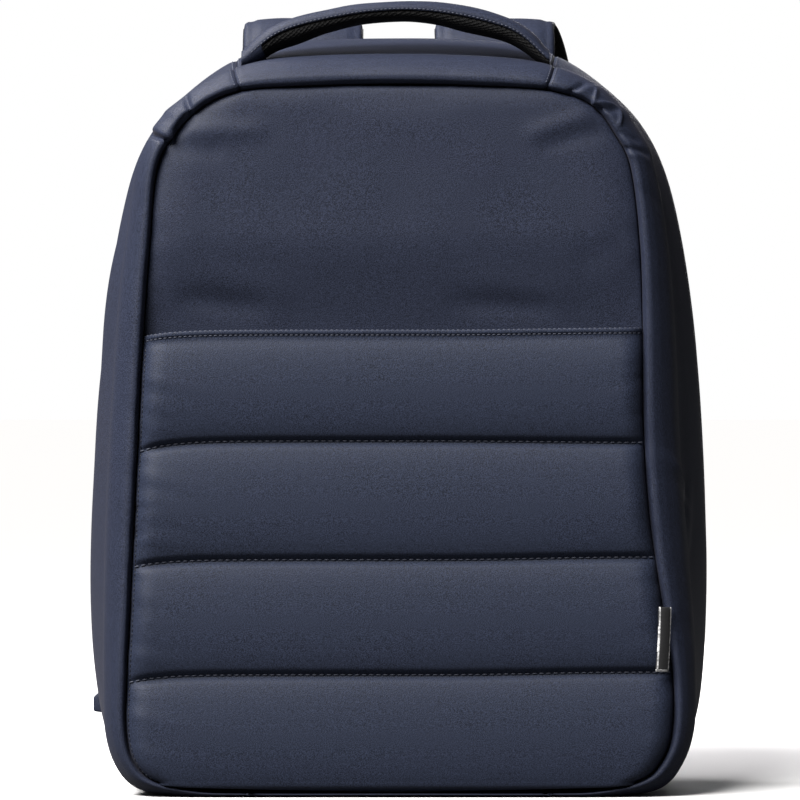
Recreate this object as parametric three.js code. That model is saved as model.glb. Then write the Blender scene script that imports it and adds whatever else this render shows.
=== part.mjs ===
// Laptop backpack, zipped shut and standing on its base.
// Millimetres, +Z up. The front faces -Y, +X is the photo's right, and the origin lies on the
// flat base, in the middle of its width and of the gusset's depth.

import * as THREE from 'three';

// Body sizes
const bodyHeight = 417.8;
const bodyHalfWidth = 171.8;
const bodyDepth = 138;
const panelTop = 387.4;
const panelHalfWidth = 149;
const wall = 3;
const rollHeight = 5;
const rollForward = 7;
const rollLip = 11.6;
const clearance = 0.3;
const panelClearance = 0.4;
const seamRoom = 0.5;

// Front panel and slip pocket
const panelThickness = 5;
const panelPuff = 8;
const panelRise = 27;
const edgePuff = 0.25;
const sideSwell = 3.2;
const topSwell = 14;
const mouthRoom = 7;
const pocketSpace = 5.4;
const pocketWall = 2;
const pocketPuff = 9;
const pocketMouth = 253.5;
const pocketSink = 1;
const pocketEdge = 12;
const hemHeight = 8;
const hemThickness = 3.4;

// Back panel
const backThickness = 12;
const backCrown = 4;
const backSink = 1;
const backRim = 14;
const backField = 36;

// Carry handle
const handleLeft = 84;
const handleRight = 80;
const handleStand = 15.7;
const handleWidth = 30;
const handleThickness = 11;
const handleMeshWidth = 26;
const handlePlace = 0.22;
const handleSettle = 0.2;

// Shoulder straps
const strapWidth = 68;
const strapCover = 6;
const strapMesh = 5.5;
const strapMeshInset = 2;
const strapReach = 46;
const strapStand = 9.7;

// Webbing, ladder locks and anchor tabs
const webbingWidth = 25;
const webbingThickness = 1.6;
const webbingTail = 95;
const tailOut = 6;
const tailBack = 3;
const loopReach = 6;
const lockBar = 4.5;
const lockSlot = 7;
const lockThickness = 4;
const lockSide = 3.5;
const tabThickness = 3;
const tabLength = 36;
const tabHeight = 34;
const tabOutLeft = 1.5;
const tabInRight = 4;
const tabPlace = 43;

// Zip and label
const zipStartShare = 0.235;
const zipInset = 0.8;
const zipWidth = 12;
const zipThickness = 1.6;
const zipPullLength = 28;
const zipPullWidth = 7;
const zipPullThickness = 3;
const zipPullPlace = 0.6;
const labelWidth = 8.5;
const labelHeight = 35;
const labelThickness = 1.4;
const labelPlace = 86;
const labelOut = 6.8;
const labelLean = 0.045;
const labelTurn = 0.6;

const handleTop = bodyHeight + handleStand;
const strapApex = bodyHeight + strapStand;
const frontY = -bodyDepth / 2;
const backY = bodyDepth / 2;

// Outlines seen from the front, from the middle of the base up one side to the middle of the top.
// up, left and right: the front seam, as shares of panelTop and panelHalfWidth.
// wideUp and wide: the widest ring, as shares of bodyHeight and bodyHalfWidth.
// roll: share of the roll that stands out there. sole: how far the flat base reaches.
const outline = [
  { up: 0.006, left: 0.000, right: 0.000, wideUp: 0.000, wide: 0.000, roll: 0.15, sole: 1.0 },
  { up: 0.006, left: 0.544, right: 0.544, wideUp: 0.000, wide: 0.497, roll: 0.15, sole: 1.0 },
  { up: 0.009, left: 0.738, right: 0.725, wideUp: 0.000, wide: 0.684, roll: 0.20, sole: 1.0 },
  { up: 0.023, left: 0.893, right: 0.879, wideUp: 0.011, wide: 0.836, roll: 0.45, sole: 0.7 },
  { up: 0.046, left: 0.960, right: 0.953, wideUp: 0.043, wide: 0.918, roll: 0.80, sole: 0.3 },
  { up: 0.090, left: 0.993, right: 0.997, wideUp: 0.094, wide: 0.965, roll: 1.00, sole: 0.1 },
  { up: 0.165, left: 0.993, right: 1.000, wideUp: 0.156, wide: 0.988, roll: 1.00, sole: 0.0 },
  { up: 0.263, left: 0.980, right: 0.963, wideUp: 0.248, wide: 1.000, roll: 1.00, sole: 0.0 },
  { up: 0.387, left: 0.966, right: 0.916, wideUp: 0.358, wide: 0.998, roll: 1.00, sole: 0.0 },
  { up: 0.516, left: 0.950, right: 0.893, wideUp: 0.486, wide: 0.984, roll: 1.00, sole: 0.0 },
  { up: 0.666, left: 0.930, right: 0.889, wideUp: 0.613, wide: 0.959, roll: 1.00, sole: 0.0 },
  { up: 0.774, left: 0.909, right: 0.879, wideUp: 0.726, wide: 0.921, roll: 1.00, sole: 0.0 },
  { up: 0.880, left: 0.883, right: 0.846, wideUp: 0.820, wide: 0.865, roll: 1.00, sole: 0.0 },
  { up: 0.928, left: 0.819, right: 0.789, wideUp: 0.883, wide: 0.789, roll: 1.00, sole: 0.0 },
  { up: 0.969, left: 0.711, right: 0.705, wideUp: 0.931, wide: 0.678, roll: 1.00, sole: 0.0 },
  { up: 0.989, left: 0.584, right: 0.570, wideUp: 0.971, wide: 0.538, roll: 1.00, sole: 0.0 },
  { up: 0.996, left: 0.389, right: 0.369, wideUp: 0.995, wide: 0.363, roll: 1.00, sole: 0.0 },
  { up: 1.000, left: 0.000, right: 0.000, wideUp: 1.000, wide: 0.000, roll: 1.00, sole: 0.0 },
];

// Outer face of the gusset from the front seam to the back edge.
// back: share of bodyDepth. flare: share of the way from the front seam to the widest ring, on the
// sides and on the base. roll and forward: shares of rollHeight and rollForward.
const outerProfile = [
  { back: 0.00, flare: 0.00, baseFlare: 0.00, roll: 0.00, forward: 0.00 },
  { back: 0.01, flare: 0.05, baseFlare: 0.10, roll: 0.45, forward: 0.70 },
  { back: 0.04, flare: 0.17, baseFlare: 0.40, roll: 0.90, forward: 1.00 },
  { back: 0.09, flare: 0.33, baseFlare: 0.80, roll: 1.00, forward: 0.60 },
  { back: 0.15, flare: 0.45, baseFlare: 1.00, roll: 0.75, forward: 0.10 },
  { back: 0.24, flare: 0.55, baseFlare: 1.00, roll: 0.20, forward: 0.00 },
  { back: 0.38, flare: 0.76, baseFlare: 1.00, roll: 0.00, forward: 0.00 },
  { back: 0.55, flare: 0.94, baseFlare: 1.00, roll: 0.00, forward: 0.00 },
  { back: 0.72, flare: 1.00, baseFlare: 1.00, roll: 0.00, forward: 0.00 },
  { back: 0.82, flare: 0.99, baseFlare: 1.00, roll: 0.00, forward: 0.00 },
  { back: 0.90, flare: 0.95, baseFlare: 1.00, roll: 0.00, forward: 0.00 },
  { back: 1.00, flare: 0.86, baseFlare: 1.00, roll: 0.00, forward: 0.00 },
];

// Soft folds of the gusset. at: station on the outline, counted in rows from the middle of the
// base, past the right side, over the top and down the left side. back: share of bodyDepth.
// along: half length round the outline, in stations. across: half width, as a share of bodyDepth.
// rise: share of rollHeight. lean: shift towards the back for each station.
const gussetFolds = [
  { at: 12.4, back: 0.12, along: 0.35, across: 0.10, rise: 0.7, lean: 0.10 },
  { at: 13.3, back: 0.10, along: 0.30, across: 0.09, rise: 0.6, lean: -0.12 },
  { at: 14.1, back: 0.12, along: 0.35, across: 0.10, rise: 0.6, lean: 0.12 },
  { at: 8.0, back: 0.28, along: 0.60, across: 0.08, rise: 0.5, lean: 0.14 },
  { at: 21.3, back: 0.30, along: 0.45, across: 0.16, rise: 0.9, lean: 0.05 },
  { at: 23.6, back: 0.45, along: 1.20, across: 0.20, rise: 0.5, lean: 0.06 },
];

// Dents of the bare front above the pocket. across and up: shares of the half width there and of
// panelTop. wide and high: half sizes as the same shares. sink: share of panelPuff.
const panelDents = [
  { across: -0.72, up: 0.700, wide: 0.30, high: 0.035, sink: 0.30 },
  { across: 0.35, up: 0.705, wide: 0.34, high: 0.035, sink: 0.28 },
  { across: -0.80, up: 0.935, wide: 0.25, high: 0.020, sink: 0.35 },
];

// Heights of the sewn channels, as shares of pocketMouth, with the pocket's base and mouth.
const channels = [0.010, 0.262, 0.508, 0.762, 1.000];

// One shoulder strap from its root on the back panel, over the top and down.
// up: share of strapApex. back: share of strapReach. left and right: middle of the left and of the
// right strap, as shares of bodyHalfWidth. width: share of strapWidth.
const strapPath = [
  { up: 0.860, back: 0.00, left: 0.318, right: 0.318, width: 1.00 },
  { up: 0.905, back: 0.00, left: 0.318, right: 0.318, width: 1.00 },
  { up: 0.945, back: 0.03, left: 0.318, right: 0.318, width: 1.00 },
  { up: 0.982, back: 0.14, left: 0.318, right: 0.318, width: 1.00 },
  { up: 1.000, back: 0.42, left: 0.318, right: 0.318, width: 1.00 },
  { up: 0.992, back: 0.74, left: 0.320, right: 0.330, width: 1.00 },
  { up: 0.950, back: 0.95, left: 0.328, right: 0.368, width: 1.00 },
  { up: 0.860, back: 1.02, left: 0.338, right: 0.412, width: 1.00 },
  { up: 0.740, back: 1.02, left: 0.362, right: 0.436, width: 0.98 },
  { up: 0.600, back: 0.94, left: 0.420, right: 0.462, width: 0.93 },
  { up: 0.470, back: 0.80, left: 0.500, right: 0.512, width: 0.84 },
  { up: 0.380, back: 0.66, left: 0.570, right: 0.570, width: 0.72 },
];

// The carry handle's middle line. across: share of handleLeft or handleRight. rise: share of the
// arch's height over the top band.
const handlePath = [
  { across: -1.00, rise: 0.00 },
  { across: -0.90, rise: 0.12 },
  { across: -0.78, rise: 0.29 },
  { across: -0.62, rise: 0.51 },
  { across: -0.45, rise: 0.70 },
  { across: -0.22, rise: 0.91 },
  { across: 0.00, rise: 1.00 },
  { across: 0.18, rise: 0.97 },
  { across: 0.35, rise: 0.86 },
  { across: 0.52, rise: 0.70 },
  { across: 0.69, rise: 0.50 },
  { across: 0.80, rise: 0.35 },
  { across: 0.90, rise: 0.19 },
  { across: 1.00, rise: 0.00 },
];

// The anchor tab's corners. inwards: share of tabLength from its outer edge. up: share of tabHeight.
const tabOutline = [
  { inwards: 0.00, up: -0.12 },
  { inwards: 0.00, up: 0.12 },
  { inwards: 0.70, up: 0.80 },
  { inwards: 1.00, up: 0.50 },
  { inwards: 0.62, up: -0.20 },
];

// How finely the solids are divided: rows and columns of the panels, and steps along the straps.
const panelColumns = 14;
const pocketColumns = 16;
const coveredRows = 12;
const bareRows = 14;
const backRows = 20;
const handleSteps = 20;
const strapSteps = 22;
const loopSteps = 22;
const webbingSteps = 56;

const navy = { color: 0x3b4256, roughness: 0.62, metalness: 0.0 };
const navyDark = { color: 0x31374a, roughness: 0.66, metalness: 0.0 };
const blackMesh = { color: 0x0b0b0d, roughness: 0.9, metalness: 0.0 };
const blackWebbing = { color: 0x121214, roughness: 0.8, metalness: 0.0 };
const blackPlastic = { color: 0x101012, roughness: 0.45, metalness: 0.0 };

const backpack = new THREE.Group();

function addPiece(name, geometry, finish) {
  const mesh = new THREE.Mesh(geometry, new THREE.MeshStandardMaterial(finish));
  mesh.name = name;
  backpack.add(mesh);
  return mesh;
}

function smoothStep(low, high, value) {
  return THREE.MathUtils.smoothstep(value, low, high);
}

// A soft bump that is 1 at 0 and dies out at 1.
function softBump(distance) {
  const left = Math.max(0, 1 - distance * distance);
  return left * left;
}

// A closed geometry from points and triangles, with its faces turned outwards.
function closedGeometry(points, triangles) {
  const cross = new THREE.Vector3();
  let volume = 0;
  for (const [a, b, c] of triangles) {
    volume += points[a].dot(cross.crossVectors(points[b], points[c]));
  }
  const faces = volume < 0 ? triangles.map(([a, b, c]) => [a, c, b]) : triangles;
  const geometry = new THREE.BufferGeometry().setFromPoints(points);
  geometry.setIndex(faces.flat());
  geometry.computeVertexNormals();
  return geometry;
}

// Triangles over a flat closed ring of points.
function capTriangles(ring) {
  const normal = new THREE.Vector3();
  ring.forEach((point, n) => {
    normal.add(new THREE.Vector3().crossVectors(point, ring[(n + 1) % ring.length]));
  });
  normal.normalize();
  const helper = Math.abs(normal.z) < 0.9 ? new THREE.Vector3(0, 0, 1) : new THREE.Vector3(1, 0, 0);
  const across = new THREE.Vector3().crossVectors(helper, normal).normalize();
  const along = new THREE.Vector3().crossVectors(normal, across);
  const flat = ring.map((point) => new THREE.Vector2(point.dot(across), point.dot(along)));
  return THREE.ShapeUtils.triangulateShape(flat, []);
}

// A solid through a row of closed rings that hold the same number of points. Both ends are closed
// by the same cap triangles. Quads from turnFrom on are cut along their other diagonal.
function loft(rings, cap = capTriangles(rings[0]), turnFrom = rings[0].length) {
  const size = rings[0].length;
  const triangles = [];
  for (let n = 0; n + 1 < rings.length; n += 1) {
    for (let k = 0; k < size; k += 1) {
      const next = (k + 1) % size;
      const [a, b, c, d] = [n * size + k, n * size + next, (n + 1) * size + next, (n + 1) * size + k];
      if (k < turnFrom) triangles.push([a, b, c], [a, c, d]);
      else triangles.push([a, b, d], [b, c, d]);
    }
  }
  const last = (rings.length - 1) * size;
  for (const [a, b, c] of cap) {
    triangles.push([a, c, b], [last + a, last + b, last + c]);
  }
  return closedGeometry(rings.flat(), triangles);
}

// A solid between a front and a back grid of points of the same size.
function slab(front, back) {
  const rows = front.length;
  const columns = front[0].length;
  const points = [...front.flat(), ...back.flat()];
  const offset = rows * columns;
  const triangles = [];
  for (let row = 0; row + 1 < rows; row += 1) {
    for (let column = 0; column + 1 < columns; column += 1) {
      const a = row * columns + column;
      const [b, c, d] = [a + 1, a + columns + 1, a + columns];
      triangles.push([a, b, c], [a, c, d]);
      triangles.push([offset + a, offset + c, offset + b], [offset + a, offset + d, offset + c]);
    }
  }
  const rim = [];
  for (let column = 0; column + 1 < columns; column += 1) rim.push(column);
  for (let row = 0; row + 1 < rows; row += 1) rim.push(row * columns + columns - 1);
  for (let column = columns - 1; column > 0; column -= 1) rim.push((rows - 1) * columns + column);
  for (let row = rows - 1; row > 0; row -= 1) rim.push(row * columns);
  rim.forEach((a, n) => {
    const b = rim[(n + 1) % rim.length];
    triangles.push([a, offset + a, b], [b, offset + a, offset + b]);
  });
  return closedGeometry(points, triangles);
}

// A strap along a curve, with bevelled edges where it is padded. sideAt gives the side axis for a
// tangent, widthAt the width, and low and high are its faces' distances from the curve, along
// side x tangent. Both faces are cut along the same diagonals, so that two straps on one curve lie
// face to face where it twists.
function ribbon(curve, steps, sideAt, widthAt, low, high) {
  const rings = [];
  const padded = high - low > webbingThickness;
  const bevel = padded ? (high - low) * 0.3 : 0;
  for (let n = 0; n <= steps; n += 1) {
    const share = n / steps;
    const middle = curve.getPoint(share);
    const tangent = curve.getTangent(share);
    const side = sideAt(tangent);
    const face = new THREE.Vector3().crossVectors(side, tangent).normalize();
    const half = widthAt(share) / 2;
    const corners = padded ? [
      [-half, low + bevel], [-half + bevel, low], [half - bevel, low], [half, low + bevel],
      [half, high - bevel], [half - bevel, high], [-half + bevel, high], [-half, high - bevel],
    ] : [[-half, low], [half, low], [half, high], [-half, high]];
    rings.push(corners.map(([across, out]) => (
      middle.clone().addScaledVector(side, across).addScaledVector(face, out)
    )));
  }
  return loft(rings, capTriangles(rings[0]), rings[0].length / 2);
}

// The side axis closest to a chosen direction that is square to the tangent.
function sideTowards(direction, tangent) {
  return direction.clone().addScaledVector(tangent, -direction.dot(tangent)).normalize();
}

// The outline as closed curves, counted in stations: one for each row of the table, up the right
// side and down the left side. The front curve holds x and z of the front seam, the wide curve
// those of the widest ring, and the trait curve holds the roll and sole shares.
const rowsUp = outline.length - 1;
const stations = 2 * rowsUp;

function closedCurve(pointOf) {
  const points = [];
  for (let station = 0; station < stations; station += 1) {
    const onRight = station <= rowsUp;
    points.push(pointOf(outline[onRight ? station : stations - station], onRight));
  }
  return new THREE.CatmullRomCurve3(points, true, 'catmullrom', 0.5);
}

const frontCurve = closedCurve((row, onRight) => new THREE.Vector3(
  (onRight ? row.right : -row.left) * panelHalfWidth, 0, row.up * panelTop,
));
const wideCurve = closedCurve((row, onRight) => new THREE.Vector3(
  (onRight ? 1 : -1) * row.wide * bodyHalfWidth, 0, row.wideUp * bodyHeight,
));
const traitCurve = closedCurve((row) => new THREE.Vector3(row.roll, 0, row.sole));

function pointOn(curve, station) {
  return curve.getPoint((((station % stations) + stations) % stations) / stations);
}

// Outward direction, in the plane of the outline.
function outwardAt(station) {
  const step = 0.2;
  const along = pointOn(wideCurve, station + step).sub(pointOn(wideCurve, station - step));
  return new THREE.Vector3(along.z, 0, -along.x).normalize();
}

function foldRise(station, back) {
  let rise = 0;
  for (const fold of gussetFolds) {
    const along = (station - fold.at) / fold.along;
    const across = (back - fold.back - fold.lean * (station - fold.at)) / fold.across;
    rise += fold.rise * rollHeight * softBump(Math.hypot(along, across));
  }
  return rise;
}

// A point of the gusset's outer face, with a distance outwards from it.
function gussetPoint(station, row, outwards) {
  const traits = pointOn(traitCurve, station);
  const sole = THREE.MathUtils.clamp(traits.z, 0, 1);
  const flare = THREE.MathUtils.lerp(row.flare, row.baseFlare, sole);
  const point = pointOn(frontCurve, station).lerp(pointOn(wideCurve, station), flare);
  const rise = traits.x * row.roll * rollHeight + (1 - sole) * foldRise(station, row.back);
  point.addScaledVector(outwardAt(station), rise + outwards);
  point.z = Math.max(point.z, outwards > -wall ? 0 : wall);
  point.y = frontY + row.back * bodyDepth - row.forward * rollForward;
  return point;
}

// The closed section of the gusset at a station: the outer face, and the inner face a wall
// further in. Next to the front seam the inner face is the seam's own outline, as deep as the lip.
function gussetSection(station) {
  const outer = outerProfile.map((row) => gussetPoint(station, row, 0));
  const lipShare = rollLip / bodyDepth;
  const behindLip = outerProfile.filter((row) => row.back > lipShare && row.roll < 1);
  const inner = behindLip.map((row) => gussetPoint(station, { ...row, roll: 0, forward: 0 }, -wall));
  const lip = pointOn(frontCurve, station);
  lip.y = frontY + rollLip;
  return [...outer, ...inner.reverse(), lip];
}

// Stations of a stretch of the gusset, two for each row of the table.
function stationsBetween(first, last) {
  const list = [first];
  const step = 0.5;
  for (let station = Math.ceil(first / step + 0.2) * step; station < last - 0.1; station += step) {
    list.push(station);
  }
  list.push(last);
  return list;
}

// Length of the front seam for one station, near a station.
function stationLength(station) {
  const step = 0.05;
  const before = pointOn(frontCurve, station - step);
  return pointOn(frontCurve, station + step).distanceTo(before) / (2 * step);
}

// The station on the top or base where the front seam passes a distance from the middle.
function stationAtX(distance, low, high) {
  let [from, to] = [low, high];
  for (let n = 0; n < 40; n += 1) {
    const middle = (from + to) / 2;
    if (Math.abs(pointOn(frontCurve, middle).x) > distance) from = middle;
    else to = middle;
  }
  return (from + to) / 2;
}

// Neighbouring pieces share one cap, so that their cut ends match.
const gussetCap = capTriangles(gussetSection(rowsUp / 2));

function gussetPiece(name, first, last) {
  const trim = clearance / 2;
  const sections = stationsBetween(
    first + trim / stationLength(first), last - trim / stationLength(last),
  ).map(gussetSection);
  return addPiece(name, loft(sections, gussetCap), navyDark);
}

const topRight = stationAtX(handleRight, rowsUp - 4, rowsUp);
const topLeft = stations - stationAtX(handleLeft, rowsUp - 4, rowsUp);
const baseRight = 1;
const baseLeft = stations - 1;

gussetPiece('side_gusset_right', baseRight, topRight);
gussetPiece('top_band', topRight, topLeft);
gussetPiece('side_gusset_left', topLeft, baseLeft);
gussetPiece('bottom_panel', baseLeft - stations, baseRight);

// The front seam as straight stretches, as the gusset's lip has it, moved inwards by a gap.
// Its x is looked up by height on either side.
const seamStep = 0.5;

function seamLine(pointAt, gap, onRight) {
  const line = [];
  for (let n = 0; n <= rowsUp / seamStep; n += 1) {
    const station = onRight ? n * seamStep : stations - n * seamStep;
    line.push(pointAt(station).addScaledVector(outwardAt(station), -gap));
  }
  return line;
}

function xAtHeight(line, z) {
  for (let n = 0; n + 1 < line.length; n += 1) {
    const [low, high] = [line[n], line[n + 1]];
    if (z <= high.z && high.z > low.z) {
      const share = THREE.MathUtils.clamp((z - low.z) / (high.z - low.z), 0, 1);
      return THREE.MathUtils.lerp(low.x, high.x, share);
    }
  }
  return line.at(-1).x;
}

const frontLines = [false, true].map((onRight) => (
  seamLine((station) => pointOn(frontCurve, station), panelClearance, onRight)
));

// Shares across a panel from its left edge to its right, closer together near the edges.
function columnShares(count) {
  return Array.from({ length: count + 1 }, (_, n) => -Math.cos((Math.PI * n) / count));
}

// A grid of points over a panel: rows at the given heights between two edge lines, y from depthAt.
function panelGrid(lines, heights, columns, depthAt) {
  return heights.map((z) => {
    const [left, right] = lines.map((line) => xAtHeight(line, z));
    return columnShares(columns).map((share) => {
      const x = THREE.MathUtils.lerp(left, right, (share + 1) / 2);
      return new THREE.Vector3(x, depthAt(x, z, share), z);
    });
  });
}

// Front panel: flat behind the pocket, puffed and dented above it.
const panelSeatY = frontY + pocketSpace + pocketSink;

const bareStart = pocketMouth + mouthRoom;

function panelFrontY(x, z, share) {
  const up = z / panelTop;
  const bare = smoothStep(bareStart, bareStart + panelRise, z);
  const side = edgePuff + sideSwell * (1 - Math.abs(share));
  const edge = Math.min(1, side, edgePuff + topSwell * (1 - up));
  let puff = bare * Math.sqrt(edge);
  for (const dent of panelDents) {
    puff -= bare * dent.sink * softBump(Math.hypot(
      (share - dent.across) / dent.wide, (up - dent.up) / dent.high,
    ));
  }
  return panelSeatY - panelPuff * puff;
}

const frontBase = outline[0].up * panelTop + panelClearance;
const frontTop = panelTop - panelClearance - seamRoom;

function heightsBetween(low, high, count) {
  return Array.from({ length: count + 1 }, (_, n) => {
    const share = (1 - Math.cos((Math.PI * n) / count)) / 2;
    return THREE.MathUtils.lerp(low, high, 0.5 * share + 0.5 * (n / count));
  });
}

const panelHeights = [
  ...heightsBetween(frontBase, bareStart, coveredRows),
  ...heightsBetween(bareStart, frontTop, bareRows).slice(1),
];
addPiece('front_panel', slab(
  panelGrid(frontLines, panelHeights, panelColumns, panelFrontY),
  panelGrid(frontLines, panelHeights, panelColumns, () => panelSeatY + panelThickness),
), navy);

// Slip pocket: a flat lining side and four puffed tubes between sewn channels, with a hem on top.
const pocketBackY = frontY + pocketSink;
const tubeTop = pocketMouth - hemHeight;
const tubeRowShares = [0, 0.07, 0.22, 0.42, 0.63, 0.82, 0.95];
const seams = channels.map((share, n) => (n + 1 < channels.length ? share * pocketMouth : tubeTop));

// Height of a round face, from 0 at its edges to 1 in its middle.
function roundFace(share) {
  return Math.sqrt(Math.max(0, 1 - (2 * share - 1) ** 2));
}

function pocketRise(z) {
  for (let n = 0; n + 1 < seams.length; n += 1) {
    if (z < seams[n + 1]) return roundFace((z - seams[n]) / (seams[n + 1] - seams[n]));
  }
  return 0;
}

function pocketFrontY(x, z) {
  const [left, right] = frontLines.map((line) => xAtHeight(line, z));
  const inside = Math.min(x - left, right - x) / pocketEdge;
  const edge = roundFace(THREE.MathUtils.clamp(inside / 2, 0, 0.5));
  const hem = z >= tubeTop ? hemThickness - pocketWall : 0;
  return pocketBackY - pocketWall - hem - pocketPuff * pocketRise(z) * edge;
}

const pocketHeights = [];
for (let n = 0; n + 1 < seams.length; n += 1) {
  for (const share of tubeRowShares) {
    pocketHeights.push(THREE.MathUtils.lerp(seams[n], seams[n + 1], share));
  }
}
pocketHeights[0] += panelClearance;
pocketHeights.push(tubeTop - seamRoom, tubeTop, pocketMouth);
addPiece('front_pocket', slab(
  panelGrid(frontLines, pocketHeights, pocketColumns, pocketFrontY),
  panelGrid(frontLines, pocketHeights, pocketColumns, () => pocketBackY),
), navy);

// Back panel: a flat rim under the zip, and a padded, slightly crowned field.
function backEdge(station) {
  return gussetPoint(station, outerProfile.at(-1), -wall);
}

const backLines = [false, true].map((onRight) => seamLine(backEdge, panelClearance, onRight));
const backSeatY = backY - backSink;
const backTop = Math.max(...backLines[1].map((point) => point.z)) - seamRoom;
const backBase = wall + panelClearance;

function backFaceY(x, z) {
  const [left, right] = backLines.map((line) => xAtHeight(line, z));
  const inside = Math.min(x - left, right - x, z - backBase, backTop - z);
  return backSeatY + (backCrown + backSink) * smoothStep(backRim, backField, inside);
}

const backHeights = heightsBetween(backBase, backTop, backRows);
addPiece('back_panel', slab(
  panelGrid(backLines, backHeights, panelColumns, () => backSeatY - backThickness),
  panelGrid(backLines, backHeights, panelColumns, backFaceY),
), blackMesh);

// Zip tape on the back face, over the join of the gusset and the back panel.
function zipRing(station) {
  const corners = [[zipInset, 0], [zipInset, 1], [zipInset + zipWidth, 1], [zipInset + zipWidth, 0]];
  return corners.map(([inwards, up]) => {
    const point = gussetPoint(station, outerProfile.at(-1), 0);
    point.addScaledVector(outwardAt(station), -inwards);
    point.y = backY + clearance + up * zipThickness;
    return point;
  });
}

const zipStation = zipStartShare * stations;
addPiece('zip_tape', loft(stationsBetween(zipStation, stations - zipStation).map(zipRing)), blackWebbing);

// Zip pull: one slider and puller, lying flat on the tape's right end.
function zipPullShape() {
  const half = zipPullWidth / 2;
  const neck = 0.4 * zipPullLength;
  const shape = new THREE.Shape();
  shape.moveTo(-half, 0);
  shape.lineTo(half, 0);
  shape.lineTo(half, 0.8 * neck);
  shape.lineTo(0.5 * half, neck);
  shape.lineTo(0.75 * half, zipPullLength);
  shape.lineTo(-0.75 * half, zipPullLength);
  shape.lineTo(-0.5 * half, neck);
  shape.lineTo(-half, 0.8 * neck);
  shape.closePath();
  return shape;
}

const zipPull = addPiece('zip_pull', new THREE.ExtrudeGeometry(
  zipPullShape(), { depth: zipPullThickness, bevelEnabled: false },
), blackPlastic);
const zipEnd = zipRing(zipStation + zipPullPlace);
zipPull.rotation.x = Math.PI / 2;
zipPull.position.set(
  (zipEnd[0].x + zipEnd[2].x) / 2, backY + 2 * clearance + zipThickness + zipPullThickness, zipEnd[0].z,
);

// Carry handle: an arch whose ends rest on the top band, with a mesh underside.
const handleY = frontY + handlePlace * bodyDepth;

// Height of the top band at a place, from the profile rows on either side of it.
function surfaceZ(x, y) {
  const low = outerProfile.findLast((row) => frontY + row.back * bodyDepth <= y);
  const high = outerProfile[outerProfile.indexOf(low) + 1];
  const share = (y - frontY - low.back * bodyDepth) / ((high.back - low.back) * bodyDepth);
  let best = { miss: Infinity, z: 0 };
  for (let station = rowsUp - 4; station <= rowsUp + 4; station += 0.02) {
    const point = gussetPoint(station, low, 0).lerp(gussetPoint(station, high, 0), share);
    const miss = Math.abs(point.x - x);
    if (miss < best.miss) best = { miss, z: point.z };
  }
  return best.z;
}

function handleSeatZ(x) {
  const places = [-1, -0.5, 0, 0.5, 1].map((share) => handleY + (share * handleWidth) / 2);
  return Math.max(...places.map((y) => surfaceZ(x, y)));
}

const handleLow = handleThickness / 2 - handleSettle;
const handleRise = handleTop - handleThickness / 2 - handleSeatZ(0) - handleLow;
const handleCurve = new THREE.CatmullRomCurve3(handlePath.map((row) => {
  const x = row.across * (row.across < 0 ? handleLeft : handleRight);
  return new THREE.Vector3(x, handleY, handleSeatZ(x) + handleLow + row.rise * handleRise);
}), false, 'catmullrom', 0.5);
const handleSide = () => new THREE.Vector3(0, -1, 0);
addPiece('handle_cover', ribbon(
  handleCurve, handleSteps, handleSide, () => handleWidth, clearance / 2, handleThickness / 2,
), navyDark);
addPiece('handle_mesh', ribbon(
  handleCurve, handleSteps, handleSide, () => handleMeshWidth, -handleThickness / 2, -clearance / 2,
), blackMesh);

// Shoulder straps: the outer cover, the mesh underside, a webbing loop and ladder lock at the lower
// end, and webbing from there to a tab at the lower corner.
const strapSeat = backSeatY + backSink + backCrown + clearance + strapCover;
const strapSideAxis = new THREE.Vector3(1, 0, 0);
const strapSide = (tangent) => sideTowards(strapSideAxis, tangent);
const lockWidth = webbingWidth + 2 * clearance + 2 * lockSide;
const lockLength = 3 * lockBar + 2 * lockSlot;
const loopOut = lockThickness / 2 + 2.4 * clearance + webbingThickness / 2;
const loopStart = 3 * clearance;
const tabY = backSeatY + backSink + backCrown + clearance;

// Ladder lock: three bars and two slots, its length along +Y of its own frame.
function lockGeometry() {
  const frame = new THREE.Shape();
  frame.moveTo(-lockWidth / 2, 0);
  frame.lineTo(lockWidth / 2, 0);
  frame.lineTo(lockWidth / 2, lockLength);
  frame.lineTo(-lockWidth / 2, lockLength);
  frame.closePath();
  const half = lockWidth / 2 - lockSide;
  for (const start of [lockBar, 2 * lockBar + lockSlot]) {
    const slot = new THREE.Path();
    slot.moveTo(-half, start);
    slot.lineTo(-half, start + lockSlot);
    slot.lineTo(half, start + lockSlot);
    slot.lineTo(half, start);
    slot.closePath();
    frame.holes.push(slot);
  }
  const geometry = new THREE.ExtrudeGeometry(frame, { depth: lockThickness, bevelEnabled: false });
  return geometry.translate(0, 0, -lockThickness / 2);
}

// Anchor tab: a folded triangle of fabric, its short edge on the side seam.
function tabGeometry(reach) {
  const shape = new THREE.Shape(tabOutline.map((row) => (
    new THREE.Vector2(reach - row.inwards * tabLength, row.up * tabHeight)
  )));
  return new THREE.ExtrudeGeometry(shape, { depth: tabThickness, bevelEnabled: false });
}

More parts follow.
